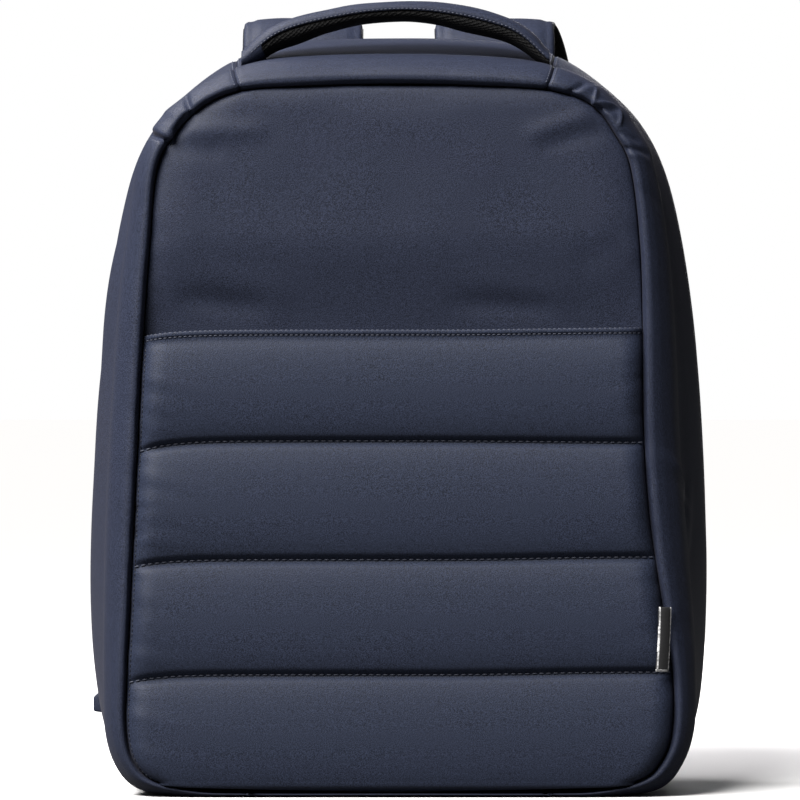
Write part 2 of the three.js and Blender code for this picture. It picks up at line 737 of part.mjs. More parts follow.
function addStrap(sideName, mirror, tabReach) {
  const curve = new THREE.CatmullRomCurve3(strapPath.map((row) => new THREE.Vector3(
    mirror * row[sideName] * bodyHalfWidth, strapSeat + row.back * strapReach, row.up * strapApex,
  )), false, 'catmullrom', 0.5);
  const widths = new THREE.CatmullRomCurve3(
    strapPath.map((row) => new THREE.Vector3(row.width * strapWidth, 0, 0)), false, 'catmullrom', 0.5,
  );
  const widthAt = (share) => widths.getPoint(share).x;
  addPiece(`shoulder_strap_${sideName}`, ribbon(
    curve, strapSteps, strapSide, widthAt, clearance / 2, strapCover,
  ), navyDark);
  addPiece(`strap_mesh_${sideName}`, ribbon(
    curve, strapSteps, strapSide, (share) => widthAt(share) - 2 * strapMeshInset, -strapMesh, -clearance / 2,
  ), blackMesh);

  // Frame of the strap's end: down along the strap, across it, and out of its cover.
  const end = curve.getPoint(1);
  const down = curve.getTangent(1);
  const across = strapSide(down);
  const out = new THREE.Vector3().crossVectors(across, down).normalize();
  const place = (length, height) => end.clone().addScaledVector(down, length).addScaledVector(out, height);
  const webbingWidthAt = () => webbingWidth;
  const half = webbingThickness / 2;

  const slotEnd = loopReach + lockBar + 2 * clearance + half;
  const loopCurve = new THREE.CatmullRomCurve3([
    place(loopStart, half + clearance), place(0.5 * loopReach, 0.8 * loopOut),
    place(loopReach, loopOut), place(loopReach + 0.8 * lockBar, loopOut),
    place(slotEnd + half, 0.45 * loopOut), place(slotEnd + half, -0.45 * loopOut),
    place(loopReach + 0.8 * lockBar, -loopOut), place(loopReach, -loopOut),
    place(0.5 * loopReach, -0.8 * loopOut), place(loopStart, -half - clearance),
  ], false, 'catmullrom', 0.5);
  addPiece(`strap_loop_${sideName}`, ribbon(
    loopCurve, loopSteps, () => across, webbingWidthAt, -half, half,
  ), blackWebbing);

  const lock = addPiece(`adjuster_${sideName}`, lockGeometry(), blackPlastic);
  lock.setRotationFromMatrix(new THREE.Matrix4().makeBasis(across, down, out));
  lock.position.copy(place(loopReach, 0));

  // The lower webbing comes up behind the lock, turns round its middle bar and hangs in front.
  const middleBar = loopReach + lockBar + lockSlot;
  const turn = middleBar - 2 * clearance - 2 * half;
  const foot = new THREE.Vector3(
    mirror * (tabReach - 0.55 * tabLength),
    tabY + tabThickness + 3 * clearance + half,
    tabPlace + 0.15 * tabHeight,
  );
  const leave = place(loopReach + lockLength, -1.2 * loopOut);
  const tail = place(loopReach + lockLength, loopOut);
  const tailAt = (share) => tail.clone().add(new THREE.Vector3(
    mirror * tailOut * share, tailBack * share, -share * webbingTail,
  ));
  const lowerCurve = new THREE.CatmullRomCurve3([
    foot, foot.clone().lerp(leave, 0.16), foot.clone().lerp(leave, 0.5), foot.clone().lerp(leave, 0.85),
    leave, place(middleBar + lockBar, -loopOut), place(middleBar + 0.3 * lockBar, -loopOut),
    place(turn, -0.45 * loopOut), place(turn, 0.45 * loopOut),
    place(middleBar + 0.3 * lockBar, loopOut), place(middleBar + lockBar, loopOut),
    tail, tailAt(0.3), tailAt(0.65), tailAt(1),
  ], false, 'catmullrom', 0.5);
  addPiece(`lower_webbing_${sideName}`, ribbon(
    lowerCurve, webbingSteps, (tangent) => sideTowards(across, tangent), webbingWidthAt, -half, half,
  ), blackWebbing);

  const tab = addPiece(`anchor_tab_${sideName}`, tabGeometry(tabReach), navyDark);
  tab.rotation.set(Math.PI / 2, 0, 0);
  tab.position.set(0, tabY + tabThickness, tabPlace);
  if (mirror < 0) {
    tab.rotation.set(Math.PI / 2, Math.PI, 0);
    tab.position.y = tabY;
  }
}

addStrap('left', -1, bodyHalfWidth + tabOutLeft);
addStrap('right', 1, bodyHalfWidth - tabInRight);

// Side label: a folded tab in the right front seam, lying on the pocket's edge.
const label = addPiece(
  'side_label', new THREE.BoxGeometry(labelWidth, labelThickness, labelHeight), blackWebbing,
);
const labelX = xAtHeight(frontLines[1], labelPlace) - 0.3 * labelWidth;
label.rotation.set(0, labelLean, labelTurn);
label.position.set(labelX, pocketBackY - pocketWall - labelOut, labelPlace);

export default backpack;
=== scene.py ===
"""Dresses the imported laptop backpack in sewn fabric, webbing and plastic.

Shapes are worked out in millimetres from the same sizes as the solids, and become metres when a
mesh is made. The front faces -Y and the base stands on the floor.
"""

import math

import bmesh
import bpy
import numpy as np
from mathutils import Matrix, Vector


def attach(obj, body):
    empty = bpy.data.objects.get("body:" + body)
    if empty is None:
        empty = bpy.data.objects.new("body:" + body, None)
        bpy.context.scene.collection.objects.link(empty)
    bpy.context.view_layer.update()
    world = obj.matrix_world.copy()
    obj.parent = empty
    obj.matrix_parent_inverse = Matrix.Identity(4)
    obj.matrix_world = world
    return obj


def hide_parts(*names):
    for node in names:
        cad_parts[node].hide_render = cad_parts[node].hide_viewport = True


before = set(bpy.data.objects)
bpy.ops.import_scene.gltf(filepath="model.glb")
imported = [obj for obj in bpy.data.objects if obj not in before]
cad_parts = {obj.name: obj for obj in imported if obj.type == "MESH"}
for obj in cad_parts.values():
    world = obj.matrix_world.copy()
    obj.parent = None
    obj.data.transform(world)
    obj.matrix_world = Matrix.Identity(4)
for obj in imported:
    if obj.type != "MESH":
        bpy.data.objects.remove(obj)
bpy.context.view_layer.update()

bl_info = {
    "name": "Laptop Backpack",
    "version": (1, 0, 0),
    "blender": (4, 5, 0),
    "location": "View3D > Sidebar > Backpack",
    "description": "Builds the fabric, padding, webbing and fittings of a laptop backpack",
    "category": "Object",
}

MM = 0.001

# Body sizes
BODY_HEIGHT = 417.8
BODY_HALF_WIDTH = 171.8
BODY_DEPTH = 138.0
PANEL_TOP = 387.4
PANEL_HALF_WIDTH = 149.0
WALL = 3.0
ROLL_HEIGHT = 5.0
ROLL_FORWARD = 5.5
ROLL_LIP = 11.6
CLEARANCE = 0.3
PANEL_CLEARANCE = 0.4
FRONT_Y = -BODY_DEPTH / 2
BACK_Y = BODY_DEPTH / 2

# Cross seams of the gusset: how deep and how wide the cloth sinks into them, where their stitches
# run on both sides of them, and from which to which share of the depth
SEAM_SINK = 0.9
SEAM_REACH = 1.6
SEAM_STITCHES = (-1.7, 1.9)
SEAM_STITCH_RANGE = (0.02, 0.97)
SEAM_STITCH_SUNK = 0.22
EDGE_STITCHES = 0.955
EDGE_STITCH_OUT = 0.15

# Unevenness of the gusset's cloth, everywhere, near the front seam and away from it. Columns:
# height, stretch across, cell size, seed.
UNEVENNESS = [
    (0.35, 1.0, 34, 3),
    (0.30, 0.3, 11, 5),
    (0.80, 0.4, 70, 8),
]
WRINKLE_REACH = 0.45
WRINKLE_FINENESS = 1.2
NEAR_SEAM = 14.0
AWAY_FROM_SEAM = (30.0, 60.0)
FLATTER_AT_BACK = 0.8

# Front panel: its puff, how it rounds at its edges, and the heights where its bare part starts,
# where its mesh becomes fine, and where its puff and its folds start and are full
PANEL_THICKNESS = 5.0
PANEL_PUFF = 8.0
PANEL_RIM_PUFF = 0.40
PANEL_ROUNDING = 24.0
PANEL_TOP_TIGHTNESS = 1.7
PANEL_SEAT_Y = FRONT_Y + 6.4
BARE_START = 260.5
FINE_START = BARE_START - 14.0
PUFF_START = BARE_START - 12.0
PUFF_FULL = BARE_START + 48.0
FOLDS_FULL = BARE_START + 14.0

# Slip pocket: its tubes and hem, and how its side seams draw the cloth back
POCKET_BACK_Y = FRONT_Y + 1.0
POCKET_WALL = 2.0
POCKET_THINNEST = 1.2
POCKET_PUFF = 9.0
POCKET_FIRST_PUFF = 0.80 * POCKET_PUFF
POCKET_MOUTH = 253.5
POCKET_EDGE = 12.0
POCKET_TUCK = 3.2
POCKET_TUCK_REACH = 4.0
TUBE_SAG = 0.88
TUBE_ROWS = 22
TUBE_MOST_SWELL = 6.0
TUBE_FRAMES = 20
HEM_WIDTH = 2.6
HEM_SECTION = [(0.25, 0.5), (0.8, 0.75), (2.0, 0.75), (2.5, 0.45), (HEM_WIDTH, 0.0)]
MOUTH_STAND = 0.42
MOUTH_TAPER_START = POCKET_MOUTH - 34.0
MOUTH_TAPER_END = POCKET_MOUTH - 4.0
CHANNEL_STITCHES = (0, -0.95, 0.15)
HEM_STITCHES = [(0, -0.15, -0.2), (0, -0.3, 2.4)]
SIDE_STITCHES = (0, -0.2, 0)
GATHER_CELL = 6.5
NOTCH_DEPTH = 3.6
CREASE_DEPTH = 0.7
CREASE_REACH = 13.0

# Back panel
BACK_THICKNESS = 12.0
BACK_CROWN = 4.0
BACK_SEAT_Y = BACK_Y - 1.0
BACK_RIM = 14.0
BACK_FIELD = 36.0
GROOVE_PLACE = BACK_RIM + 1.5
GROOVE_DEPTH = 0.8
GROOVE_WIDTH = 1.3

# Carry handle
HANDLE_LEFT = 84.0
HANDLE_RIGHT = 80.0
HANDLE_TOP = 433.5
HANDLE_WIDTH = 30.0
HANDLE_THICKNESS = 11.0
HANDLE_MESH_WIDTH = 26.0
HANDLE_Y = FRONT_Y + 0.22 * BODY_DEPTH
HANDLE_LOW = 5.3
HANDLE_SEWN_IN = 2.0
HANDLE_WRAP = 12.0
HANDLE_END_DROP = 3.0
HANDLE_UPRIGHT = 9.0
HANDLE_SETTLING = 15.0
HANDLE_SQUARENESS = 2.6
HANDLE_MESH_SQUARENESS = 2.4
HANDLE_MESH_PROUD = 2.4
HANDLE_STITCHED = slice(10, -6)

# Points round the section of a padded strap or handle, on its crowned and on its flat face
CROWN_COLUMNS = 30
FLAT_COLUMNS = 10

# Shoulder straps, webbing and fittings
STRAP_WIDTH = 68.0
STRAP_COVER = 6.0
STRAP_MESH = 5.5
STRAP_MESH_PROUD = 0.6
STRAP_SQUARENESS = 3.4
STRAP_MESH_SQUARENESS = 3.0
STRAP_SEAM_INSET = 5.0
STRAP_SEAM_DENT = 0.8
STRAP_STITCH_OUT = 0.98 * STRAP_COVER - 0.65
STRAP_HANGS_BELOW = 30.0
STRAP_REACH = 46.0
STRAP_APEX = 427.5
STRAP_SEAT = 79.3
WEBBING_WIDTH = 25.0
WEBBING_THICKNESS = 1.6
WEBBING_TAIL = 95.0
LOOP_REACH = 6.0
LOCK_BAR = 4.5
LOCK_SLOT = 7.0
LOCK_THICKNESS = 4.0
LOCK_SIDE = 3.5
LOCK_LENGTH = 3 * LOCK_BAR + 2 * LOCK_SLOT
LOCK_WIDTH = WEBBING_WIDTH + 2 * CLEARANCE + 2 * LOCK_SIDE
TAB_THICKNESS = 3.0
TAB_LENGTH = 36.0
TAB_HEIGHT = 34.0
TAB_PLACE = 43.0
TAB_Y = 73.3
TAB_REACH = {-1: BODY_HALF_WIDTH + 1.5, 1: BODY_HALF_WIDTH - 4.0}

# Zip and label
ZIP_START = 7.99
ZIP_INSET = 0.8
ZIP_WIDTH = 12.0
ZIP_THICKNESS = 1.6
ZIP_STITCHES = (1.8, 10.2)
ZIP_TOOTH = {"pitch": 0.0014, "length": 0.0010, "width": 0.0040, "height": 0.0013}
ZIP_PULL_LENGTH = 28.0
ZIP_PULL_WIDTH = 7.0
ZIP_PULL_THICKNESS = 3.0
LABEL_WIDTH = 8.5
LABEL_HEIGHT = 35.0
LABEL_THICKNESS = 1.4
LABEL_PLACE = 86.0
LABEL_OUT = 6.8
LABEL_LEAN = 0.045
LABEL_TURN = 0.6
LABEL_WAIST = 0.07
LABEL_BOW = 0.5

# Studio, in metres. Columns of the area lights: name, setting that holds the power, place, width
# and height, colour. All of them face the target.
LIGHT_TARGET = (0.0, -0.05, 0.24)
AREA_LIGHTS = [
    ("near_light", "near_power", (-0.90, -0.72, 1.25), (0.5, 0.7), (1.0, 0.98, 0.97)),
    ("top_light", "top_power", (-0.75, 0.12, 1.5), (1.2, 0.5), (1.0, 0.97, 0.98)),
    ("back_light", "back_power", (0.25, 1.9, 0.5), (0.4, 0.8), (1.0, 0.99, 1.0)),
]
SUN_DIRECTION = (0.36, 0.64, -0.70)
SUN_SOFTNESS = math.radians(24)
SUN_COLOUR = (1.0, 0.985, 0.97)
CAMERA_PLACE = (0.00055, -3.2, 0.2155)
CAMERA_LENS = 259.8
CAMERA_SENSOR = 36.0
FLOOR_RADIUS = 60.0

# Share of the floor's brightness that lights the object
FLOOR_BOUNCE = 0.12

# Outline from the middle of the base up one side to the middle of the top. Columns: height of the
# front seam, its left and right reach, height and reach of the widest ring, share of the roll,
# share of the sole.
OUTLINE = np.array([
    (0.006, 0.000, 0.000, 0.000, 0.000, 0.15, 1.0),
    (0.006, 0.544, 0.544, 0.000, 0.497, 0.15, 1.0),
    (0.009, 0.738, 0.725, 0.000, 0.684, 0.20, 1.0),
    (0.023, 0.893, 0.879, 0.011, 0.836, 0.45, 0.7),
    (0.046, 0.960, 0.953, 0.043, 0.918, 0.80, 0.3),
    (0.090, 0.993, 0.997, 0.094, 0.965, 1.00, 0.1),
    (0.165, 0.993, 1.000, 0.156, 0.988, 1.00, 0.0),
    (0.263, 0.980, 0.963, 0.248, 1.000, 1.00, 0.0),
    (0.387, 0.966, 0.916, 0.358, 0.998, 1.00, 0.0),
    (0.516, 0.950, 0.893, 0.486, 0.984, 1.00, 0.0),
    (0.666, 0.930, 0.889, 0.613, 0.959, 1.00, 0.0),
    (0.774, 0.909, 0.879, 0.726, 0.921, 1.00, 0.0),
    (0.880, 0.883, 0.846, 0.820, 0.865, 1.00, 0.0),
    (0.928, 0.819, 0.789, 0.883, 0.789, 1.00, 0.0),
    (0.969, 0.711, 0.705, 0.931, 0.678, 1.00, 0.0),
    (0.989, 0.584, 0.570, 0.971, 0.538, 1.00, 0.0),
    (0.996, 0.389, 0.369, 0.995, 0.363, 1.00, 0.0),
    (1.000, 0.000, 0.000, 1.000, 0.000, 1.00, 0.0),
])

# Outer face of the gusset from the front seam to the back edge. Columns: share of the depth,
# flare of the sides, flare of the base, share of the roll's height, share of its forward reach.
PROFILE = np.array([
    (0.00, 0.00, 0.00, 0.00, -0.30),
    (0.010, 0.03, 0.06, 0.22, 0.72),
    (0.022, 0.09, 0.22, 0.50, 1.00),
    (0.045, 0.18, 0.42, 0.85, 0.92),
    (0.09, 0.33, 0.80, 1.00, 0.62),
    (0.15, 0.45, 1.00, 0.75, 0.10),
    (0.24, 0.55, 1.00, 0.20, 0.00),
    (0.38, 0.76, 1.00, 0.00, 0.00),
    (0.55, 0.94, 1.00, 0.00, 0.00),
    (0.72, 1.00, 1.00, 0.00, 0.00),
    (0.82, 0.99, 1.00, 0.00, 0.00),
    (0.90, 0.95, 1.00, 0.00, 0.00),
    (1.00, 0.86, 1.00, 0.00, 0.00),
])

# Soft folds of the gusset. Columns: station, share of the depth, half length in stations, half
# width as a share of the depth, rise as a share of the roll's height, lean for each station.
FOLDS = [
    (12.4, 0.12, 0.35, 0.10, 0.1, 0.10),
    (13.3, 0.10, 0.30, 0.09, 0.1, -0.12),
    (14.1, 0.12, 0.35, 0.10, 0.1, 0.12),
    (8.0, 0.28, 0.60, 0.08, 0.2, 0.14),
    (21.3, 0.30, 0.45, 0.16, 0.1, 0.05),
    (23.6, 0.45, 1.20, 0.20, 0.5, 0.06),
]

# Sharp wrinkles of the gusset. Columns: station and depth share of one end, the same of the other
# end, half width and height in millimetres, and how much narrower the side past the line is.
WRINKLES = [
    (21.16, -0.02, 21.20, 0.11, 15.0, 2.0, 0.09),
    (21.18, 0.12, 21.24, 0.46, 14.0, 0.4, 0.20),
    (21.25, -0.02, 21.29, 0.13, 2.0, -2.6, 1.00),
    (20.95, 0.004, 20.42, 0.012, 2.6, -2.4, 1.00),
    (20.36, 0.00, 20.16, 0.10, 1.8, -1.8, 1.00),
    (20.55, 0.00, 20.75, 0.18, 6.0, 0.8, 0.60),
    (19.62, 0.02, 19.45, 0.12, 4.0, -0.4, 1.00),
    (22.60, 0.02, 22.35, 0.12, 5.0, -0.4, 1.00),
    (24.40, 0.01, 24.15, 0.11, 6.0, -0.4, 1.00),
    (14.74, 0.00, 14.48, 0.055, 2.0, -1.4, 1.00),
    (14.50, 0.01, 14.18, 0.080, 3.6, 1.0, 0.70),
    (13.98, 0.00, 14.20, 0.055, 1.8, 1.2, 0.60),
    (14.02, 0.01, 13.52, 0.060, 1.9, 1.3, 0.60),
    (13.88, 0.00, 13.48, 0.040, 2.0, -1.4, 1.00),
    (13.44, 0.06, 13.14, 0.022, 1.8, 1.4, 0.60),
    (13.02, 0.01, 12.52, 0.050, 2.2, -1.0, 1.00),
    (12.54, 0.00, 12.20, 0.075, 2.0, -1.1, 1.00),
    (12.36, 0.00, 12.04, 0.075, 2.6, 0.5, 0.80),
    (11.70, 0.01, 11.40, 0.10, 4.0, -0.4, 1.00),
    (15.30, 0.200, 18.70, 0.200, 8.0, -2.4, 1.00),
    (8.72, 0.05, 8.16, 0.28, 5.0, 1.2, 0.45),
    (8.52, 0.08, 8.06, 0.26, 3.6, -0.8, 1.00),
    (6.90, 0.03, 6.60, 0.12, 5.0, -0.5, 1.00),
]

# Dents and folds of the bare front. Columns: x and z of both ends, half width, height (mm).
PANEL_FOLDS = [
    (-124.0, 362.0, -74.0, 361.5, 5.5, 1.5),
    (-122.0, 352.0, -96.0, 350.0, 5.0, -0.7),
    (-118.0, 271.0, -74.0, 264.0, 7.0, -1.5),
    (-112.0, 283.0, -60.0, 274.0, 8.0, 0.7),
    (30.0, 268.0, 82.0, 264.0, 7.0, -1.5),
    (36.0, 281.0, 92.0, 273.0, 8.0, 0.7),
    (70.0, 359.0, 106.0, 371.0, 5.0, 1.3),
    (78.0, 353.0, 112.0, 362.0, 4.5, -0.8),
    (-40.0, 378.0, 30.0, 377.0, 7.0, -0.6),
    (96.0, 290.0, 122.0, 300.0, 9.0, -0.8),
]

# Sewn channels of the pocket from its base to its mouth: share of the mouth's height, drop at the
# left end and rise at the right end in millimetres.
CHANNELS = [
    (0.010, 0.0, 0.0),
    (0.262, 2.9, 1.4),
    (0.508, 3.2, 1.4),
    (0.762, 5.6, -0.8),
    (1.000, 3.9, 1.1),
]

# A shoulder strap's middle line. Columns: height, distance behind the back, place across of the
# left and of the right strap, width.
STRAP_PATH = np.array([
    (0.860, 0.00, 0.318, 0.318, 1.00),
    (0.905, 0.00, 0.318, 0.318, 1.00),
    (0.945, 0.03, 0.318, 0.318, 1.00),
    (0.982, 0.14, 0.318, 0.318, 1.00),
    (1.000, 0.42, 0.318, 0.318, 1.00),
    (0.992, 0.74, 0.320, 0.330, 1.00),
    (0.950, 0.95, 0.328, 0.368, 1.00),
    (0.860, 1.02, 0.338, 0.412, 1.00),
    (0.740, 1.02, 0.362, 0.436, 0.98),
    (0.600, 0.94, 0.420, 0.462, 0.93),
    (0.470, 0.80, 0.500, 0.512, 0.84),
    (0.380, 0.66, 0.570, 0.570, 0.72),
])

# The carry handle's middle line. Columns: share of its reach, share of its rise.
HANDLE_PATH = np.array([
    (-1.00, 0.00), (-0.90, 0.12), (-0.78, 0.29), (-0.62, 0.51), (-0.45, 0.70), (-0.22, 0.91),
    (0.00, 1.00), (0.18, 0.97), (0.35, 0.86), (0.52, 0.70), (0.69, 0.50), (0.80, 0.35),
    (0.90, 0.19), (1.00, 0.00),
])

# Fullness of the handle. Columns: share of its length, of the cover, of the mesh underside.
HANDLE_FULLNESS = np.array([
    (-1.00, 0.95, 0.85), (-0.94, 1.05, 1.05), (-0.80, 1.10, 1.35), (-0.65, 1.13, 1.60),
    (-0.45, 1.10, 1.25), (-0.20, 1.05, 1.00), (0.05, 1.00, 1.00), (0.27, 1.15, 1.12),
    (0.47, 1.25, 1.40), (0.70, 1.10, 1.25), (0.88, 1.00, 1.05), (1.00, 0.95, 0.90),
])

# The anchor tab's corners. Columns: share of its length from the outer edge, share of its height.
TAB_OUTLINE = [(0.00, -0.12), (0.00, 0.12), (0.70, 0.80), (1.00, 0.50), (0.62, -0.20)]

ROWS_UP = len(OUTLINE) - 1
STATIONS = 2 * ROWS_UP


# Curves and tables

def cubic(share, start, end, lean_start, lean_end):
    """Value on the cubic curve between two ends with the given leans."""
    square, cube = share**2, share**3
    return (
        (2 * cube - 3 * square + 1) * start + (cube - 2 * square + share) * lean_start
        + (3 * square - 2 * cube) * end + (cube - square) * lean_end
    )


def spline(points, places, closed=False):
    """Points of a Catmull-Rom curve at the places, which are counted in control points."""
    points = np.asarray(points, float)
    places = np.asarray(places, float)
    count = len(points)
    index = np.floor(places).astype(int)
    if closed:
        before, start, end, after = (points[(index + step) % count] for step in (-1, 0, 1, 2))
    else:
        index = np.clip(index, 0, count - 2)
        padded = np.vstack([2 * points[0] - points[1], points, 2 * points[-1] - points[-2]])
        before, start, end, after = (padded[index + 1 + step] for step in (-1, 0, 1, 2))
    share = (places - index)[:, None]
    return cubic(share, start, end, 0.5 * (end - before), 0.5 * (after - start))


def smooth_table(x, xs, ys):
    """Value at x of a smooth curve through a table that never overshoots it."""
    widths = np.diff(xs)
    slopes = np.diff(ys) / widths
    leans = np.zeros(len(ys))
    leans[0], leans[-1] = slopes[0], slopes[-1]
    product = slopes[:-1] * slopes[1:]
    total = slopes[:-1] + slopes[1:]
    steady = product > 0
    leans[1:-1][steady] = 2 * product[steady] / total[steady]
    x = np.clip(x, xs[0], xs[-1])
    n = np.clip(np.searchsorted(xs, x, side="right") - 1, 0, len(xs) - 2)
    share = (x - xs[n]) / widths[n]
    return cubic(share, ys[n], ys[n + 1], widths[n] * leans[n], widths[n] * leans[n + 1])


def smooth_step(low, high, value):
    share = np.clip((value - low) / (high - low), 0, 1)
    return share * share * (3 - 2 * share)


def soft_bump(distance):
    return np.clip(1 - distance**2, 0, None) ** 2


def soft_noise(x, y, cell, seed):
    """Smooth noise from -1 to 1 over a plane, with one random value for each cell."""
    table = np.random.default_rng(seed).uniform(-1, 1, (64, 64))
    x, y = np.asarray(x) / cell, np.asarray(y) / cell
    column, row = np.floor(x).astype(int), np.floor(y).astype(int)
    across, up = x - column, y - row
    across = across * across * (3 - 2 * across)
    up = up * up * (3 - 2 * up)
    low = table[row % 64, column % 64] * (1 - across) + table[row % 64, (column + 1) % 64] * across
    next_row = (row + 1) % 64
    high = table[next_row, column % 64] * (1 - across) + table[next_row, (column + 1) % 64] * across
    return low * (1 - up) + high * up


def arc_lengths(points):
    """Distance along a row of points, starting at 0."""
    steps = np.linalg.norm(np.diff(points, axis=0), axis=1)
    return np.concatenate([[0.0], np.cumsum(steps)])


def evenly(points, spacing):
    """The same line with points at an even spacing."""
    lengths = arc_lengths(points)
    count = max(2, int(round(lengths[-1] / spacing)) + 1)
    places = np.linspace(0, lengths[-1], count)
    return np.column_stack([np.interp(places, lengths, points[:, k]) for k in range(3)])


def unit(vectors):
    return vectors / np.linalg.norm(vectors, axis=-1, keepdims=True)


def grid_normals(grid):
    """Unit normals of a grid of points."""
    return unit(np.cross(np.gradient(grid, axis=1), np.gradient(grid, axis=0)))


def line_ridge(x, y, start, end, width, height, narrow=1.0):
    """Height of a soft ridge along a straight line in a plane, narrower on the side past it."""
    line = np.subtract(end, start)
    length = np.hypot(*line)
    along = ((x - start[0]) * line[0] + (y - start[1]) * line[1]) / length**2
    aside = ((x - start[0]) * line[1] - (y - start[1]) * line[0]) / length
    half = np.where(aside > 0, width * narrow, width)
    ends = np.clip(np.abs(along - 0.5) * 2, 0, 1.3)
    fade = np.clip(1 - (ends / 1.3) ** 4, 0, None) ** 2
    return height * fade * np.exp(-((aside / half) ** 2))


# The outline seen from the front

def closed_outline():
    """Control points of the front seam, the widest ring and the traits, right side first."""
    rows = OUTLINE[[min(n, STATIONS - n) for n in range(STATIONS)]]
    on_right = np.arange(STATIONS) <= ROWS_UP
    front_x = np.where(on_right, rows[:, 2], -rows[:, 1]) * PANEL_HALF_WIDTH
    wide_x = np.where(on_right, 1, -1) * rows[:, 4] * BODY_HALF_WIDTH
    front = np.column_stack([front_x, rows[:, 0] * PANEL_TOP])
    wide = np.column_stack([wide_x, rows[:, 3] * BODY_HEIGHT])
    return front, wide, rows[:, 5:7]


FRONT_RING, WIDE_RING, TRAITS = closed_outline()


def outward_at(stations):
    step = 0.2
    along = spline(WIDE_RING, stations + step, True) - spline(WIDE_RING, stations - step, True)
    return unit(np.column_stack([along[:, 1], -along[:, 0]]))


def gusset_grid(stations, backs, outwards=0.0, plain=False):
    """Points of the gusset, one row for each station and one column for each share of depth."""
    stations = np.asarray(stations, float)
    backs = np.asarray(backs, float)
    front = spline(FRONT_RING, stations, True)
    wide = spline(WIDE_RING, stations, True)
    traits = spline(TRAITS, stations, True)
    sole = np.clip(traits[:, 1], 0, 1)[:, None]
    columns = [smooth_table(backs, PROFILE[:, 0], PROFILE[:, k]) for k in (1, 2, 3, 4)]
    flare = columns[0][None, :] * (1 - sole) + columns[1][None, :] * sole
    rise = np.zeros((len(stations), len(backs)))
    for at, back, along, across, height, lean in FOLDS:
        shift = (stations - at)[:, None]
        aside = (backs[None, :] - back - lean * shift) / across
        rise += height * ROLL_HEIGHT * soft_bump(np.hypot(shift / along, aside))
    rise *= 1 - sole
    if not plain:
        rise += traits[:, :1] * columns[2][None, :] * ROLL_HEIGHT
    flat = front[:, None, :] * (1 - flare[..., None]) + wide[:, None, :] * flare[..., None]
    flat = flat + outward_at(stations)[:, None, :] * (rise + outwards)[..., None]
    lowest = 0.0 if outwards > -WALL else WALL
    forward = 0 if plain else columns[3] * ROLL_FORWARD
    y = FRONT_Y + backs * BODY_DEPTH - forward
    grid = np.empty((len(stations), len(backs), 3))
    grid[..., 0] = flat[..., 0]
    grid[..., 1] = np.broadcast_to(y, grid.shape[:2])
    grid[..., 2] = np.maximum(flat[..., 1], lowest)
    return grid


# Lengths along the outline, measured on the roll
RING_STATIONS = np.linspace(0, STATIONS, 1361)
RING_LENGTHS = arc_lengths(gusset_grid(RING_STATIONS, [0.10])[:, 0])
DEPTH_SHARES = np.linspace(0, 1, 501)
DEPTH_LENGTHS = arc_lengths(gusset_grid([9.0], DEPTH_SHARES)[0])


def ring_length(stations):
    turns = np.floor(np.asarray(stations, float) / STATIONS)
    rest = stations - turns * STATIONS
    return turns * RING_LENGTHS[-1] + np.interp(rest, RING_STATIONS, RING_LENGTHS)


def depth_length(backs):
    backs = np.asarray(backs, float)
    return np.interp(backs, DEPTH_SHARES, DEPTH_LENGTHS) + np.minimum(backs, 0) * BODY_DEPTH


def station_at_x(distance, low, high):
    """Station on the top where the front seam passes a distance from the middle."""
    for _ in range(40):
        middle = (low + high) / 2
        if abs(spline(FRONT_RING, [middle], True)[0, 0]) > distance:
            low = middle
        else:
            high = middle
    return (low + high) / 2


TOP_RIGHT = station_at_x(HANDLE_RIGHT, ROWS_UP - 4, ROWS_UP)
TOP_LEFT = STATIONS - station_at_x(HANDLE_LEFT, ROWS_UP - 4, ROWS_UP)


def gusset_relief(stations, backs, depth):
    """Height of the wrinkles on the gusset, in millimetres."""
    along = ring_length(stations)[:, None]
    across = depth_length(backs)[None, :]
    relief = np.zeros((len(stations), len(backs)))
    for first, first_back, last, last_back, width, height, narrow in WRINKLES:
        start = (float(ring_length(first)), float(depth_length(first_back)))
        end = (float(ring_length(last)), float(depth_length(last_back)))
        relief += line_ridge(along, across, start, end, width, height, narrow)
    near = np.exp(-across / NEAR_SEAM)
    away = smooth_step(*AWAY_FROM_SEAM, across)
    for where, (height, stretch, cell, seed) in zip((1.0, near, away), UNEVENNESS):
        relief += height * where * soft_noise(along, across * stretch, cell, seed)
    seam_fade = smooth_step(0, 2.5, across)
    at_back = smooth_step(depth_length(0.90), depth_length(1.0), across)
    back_fade = 1 - FLATTER_AT_BACK * at_back
    return depth * relief * seam_fade * back_fade


def gusset_outer(stations, backs, wrinkle_depth):
    """The wrinkled outer face of the gusset."""
    grid = gusset_grid(stations, backs)
    sole = np.clip(spline(TRAITS, np.asarray(stations, float), True)[:, 1], 0, 1)[:, None, None]
    normals = grid_normals(grid)
    relief = gusset_relief(np.asarray(stations, float), np.asarray(backs, float), wrinkle_depth)
    grid += normals * relief[..., None] * (1 - sole)
    grid[..., 2] = np.maximum(grid[..., 2], 0)
    return grid


# Seam lines that the panels fill

def seam_line(on_right, gap, back=None):
    """x and z of a seam up one side, from the base to the top."""
    steps = np.linspace(0, ROWS_UP, 681)
    stations = steps if on_right else STATIONS - steps
    if back is None:
        line = spline(FRONT_RING, stations, True)
    else:
        line = gusset_grid(stations, [back], -WALL)[:, 0][:, [0, 2]]
    line = line - outward_at(stations) * gap
    line[:, 1] = np.maximum.accumulate(line[:, 1])
    line[:, 1] += np.linspace(0, 0.001, len(line))
    return line


FRONT_LINES = [seam_line(side, PANEL_CLEARANCE) for side in (False, True)]
BACK_LINES = [seam_line(side, PANEL_CLEARANCE, 1.0) for side in (False, True)]


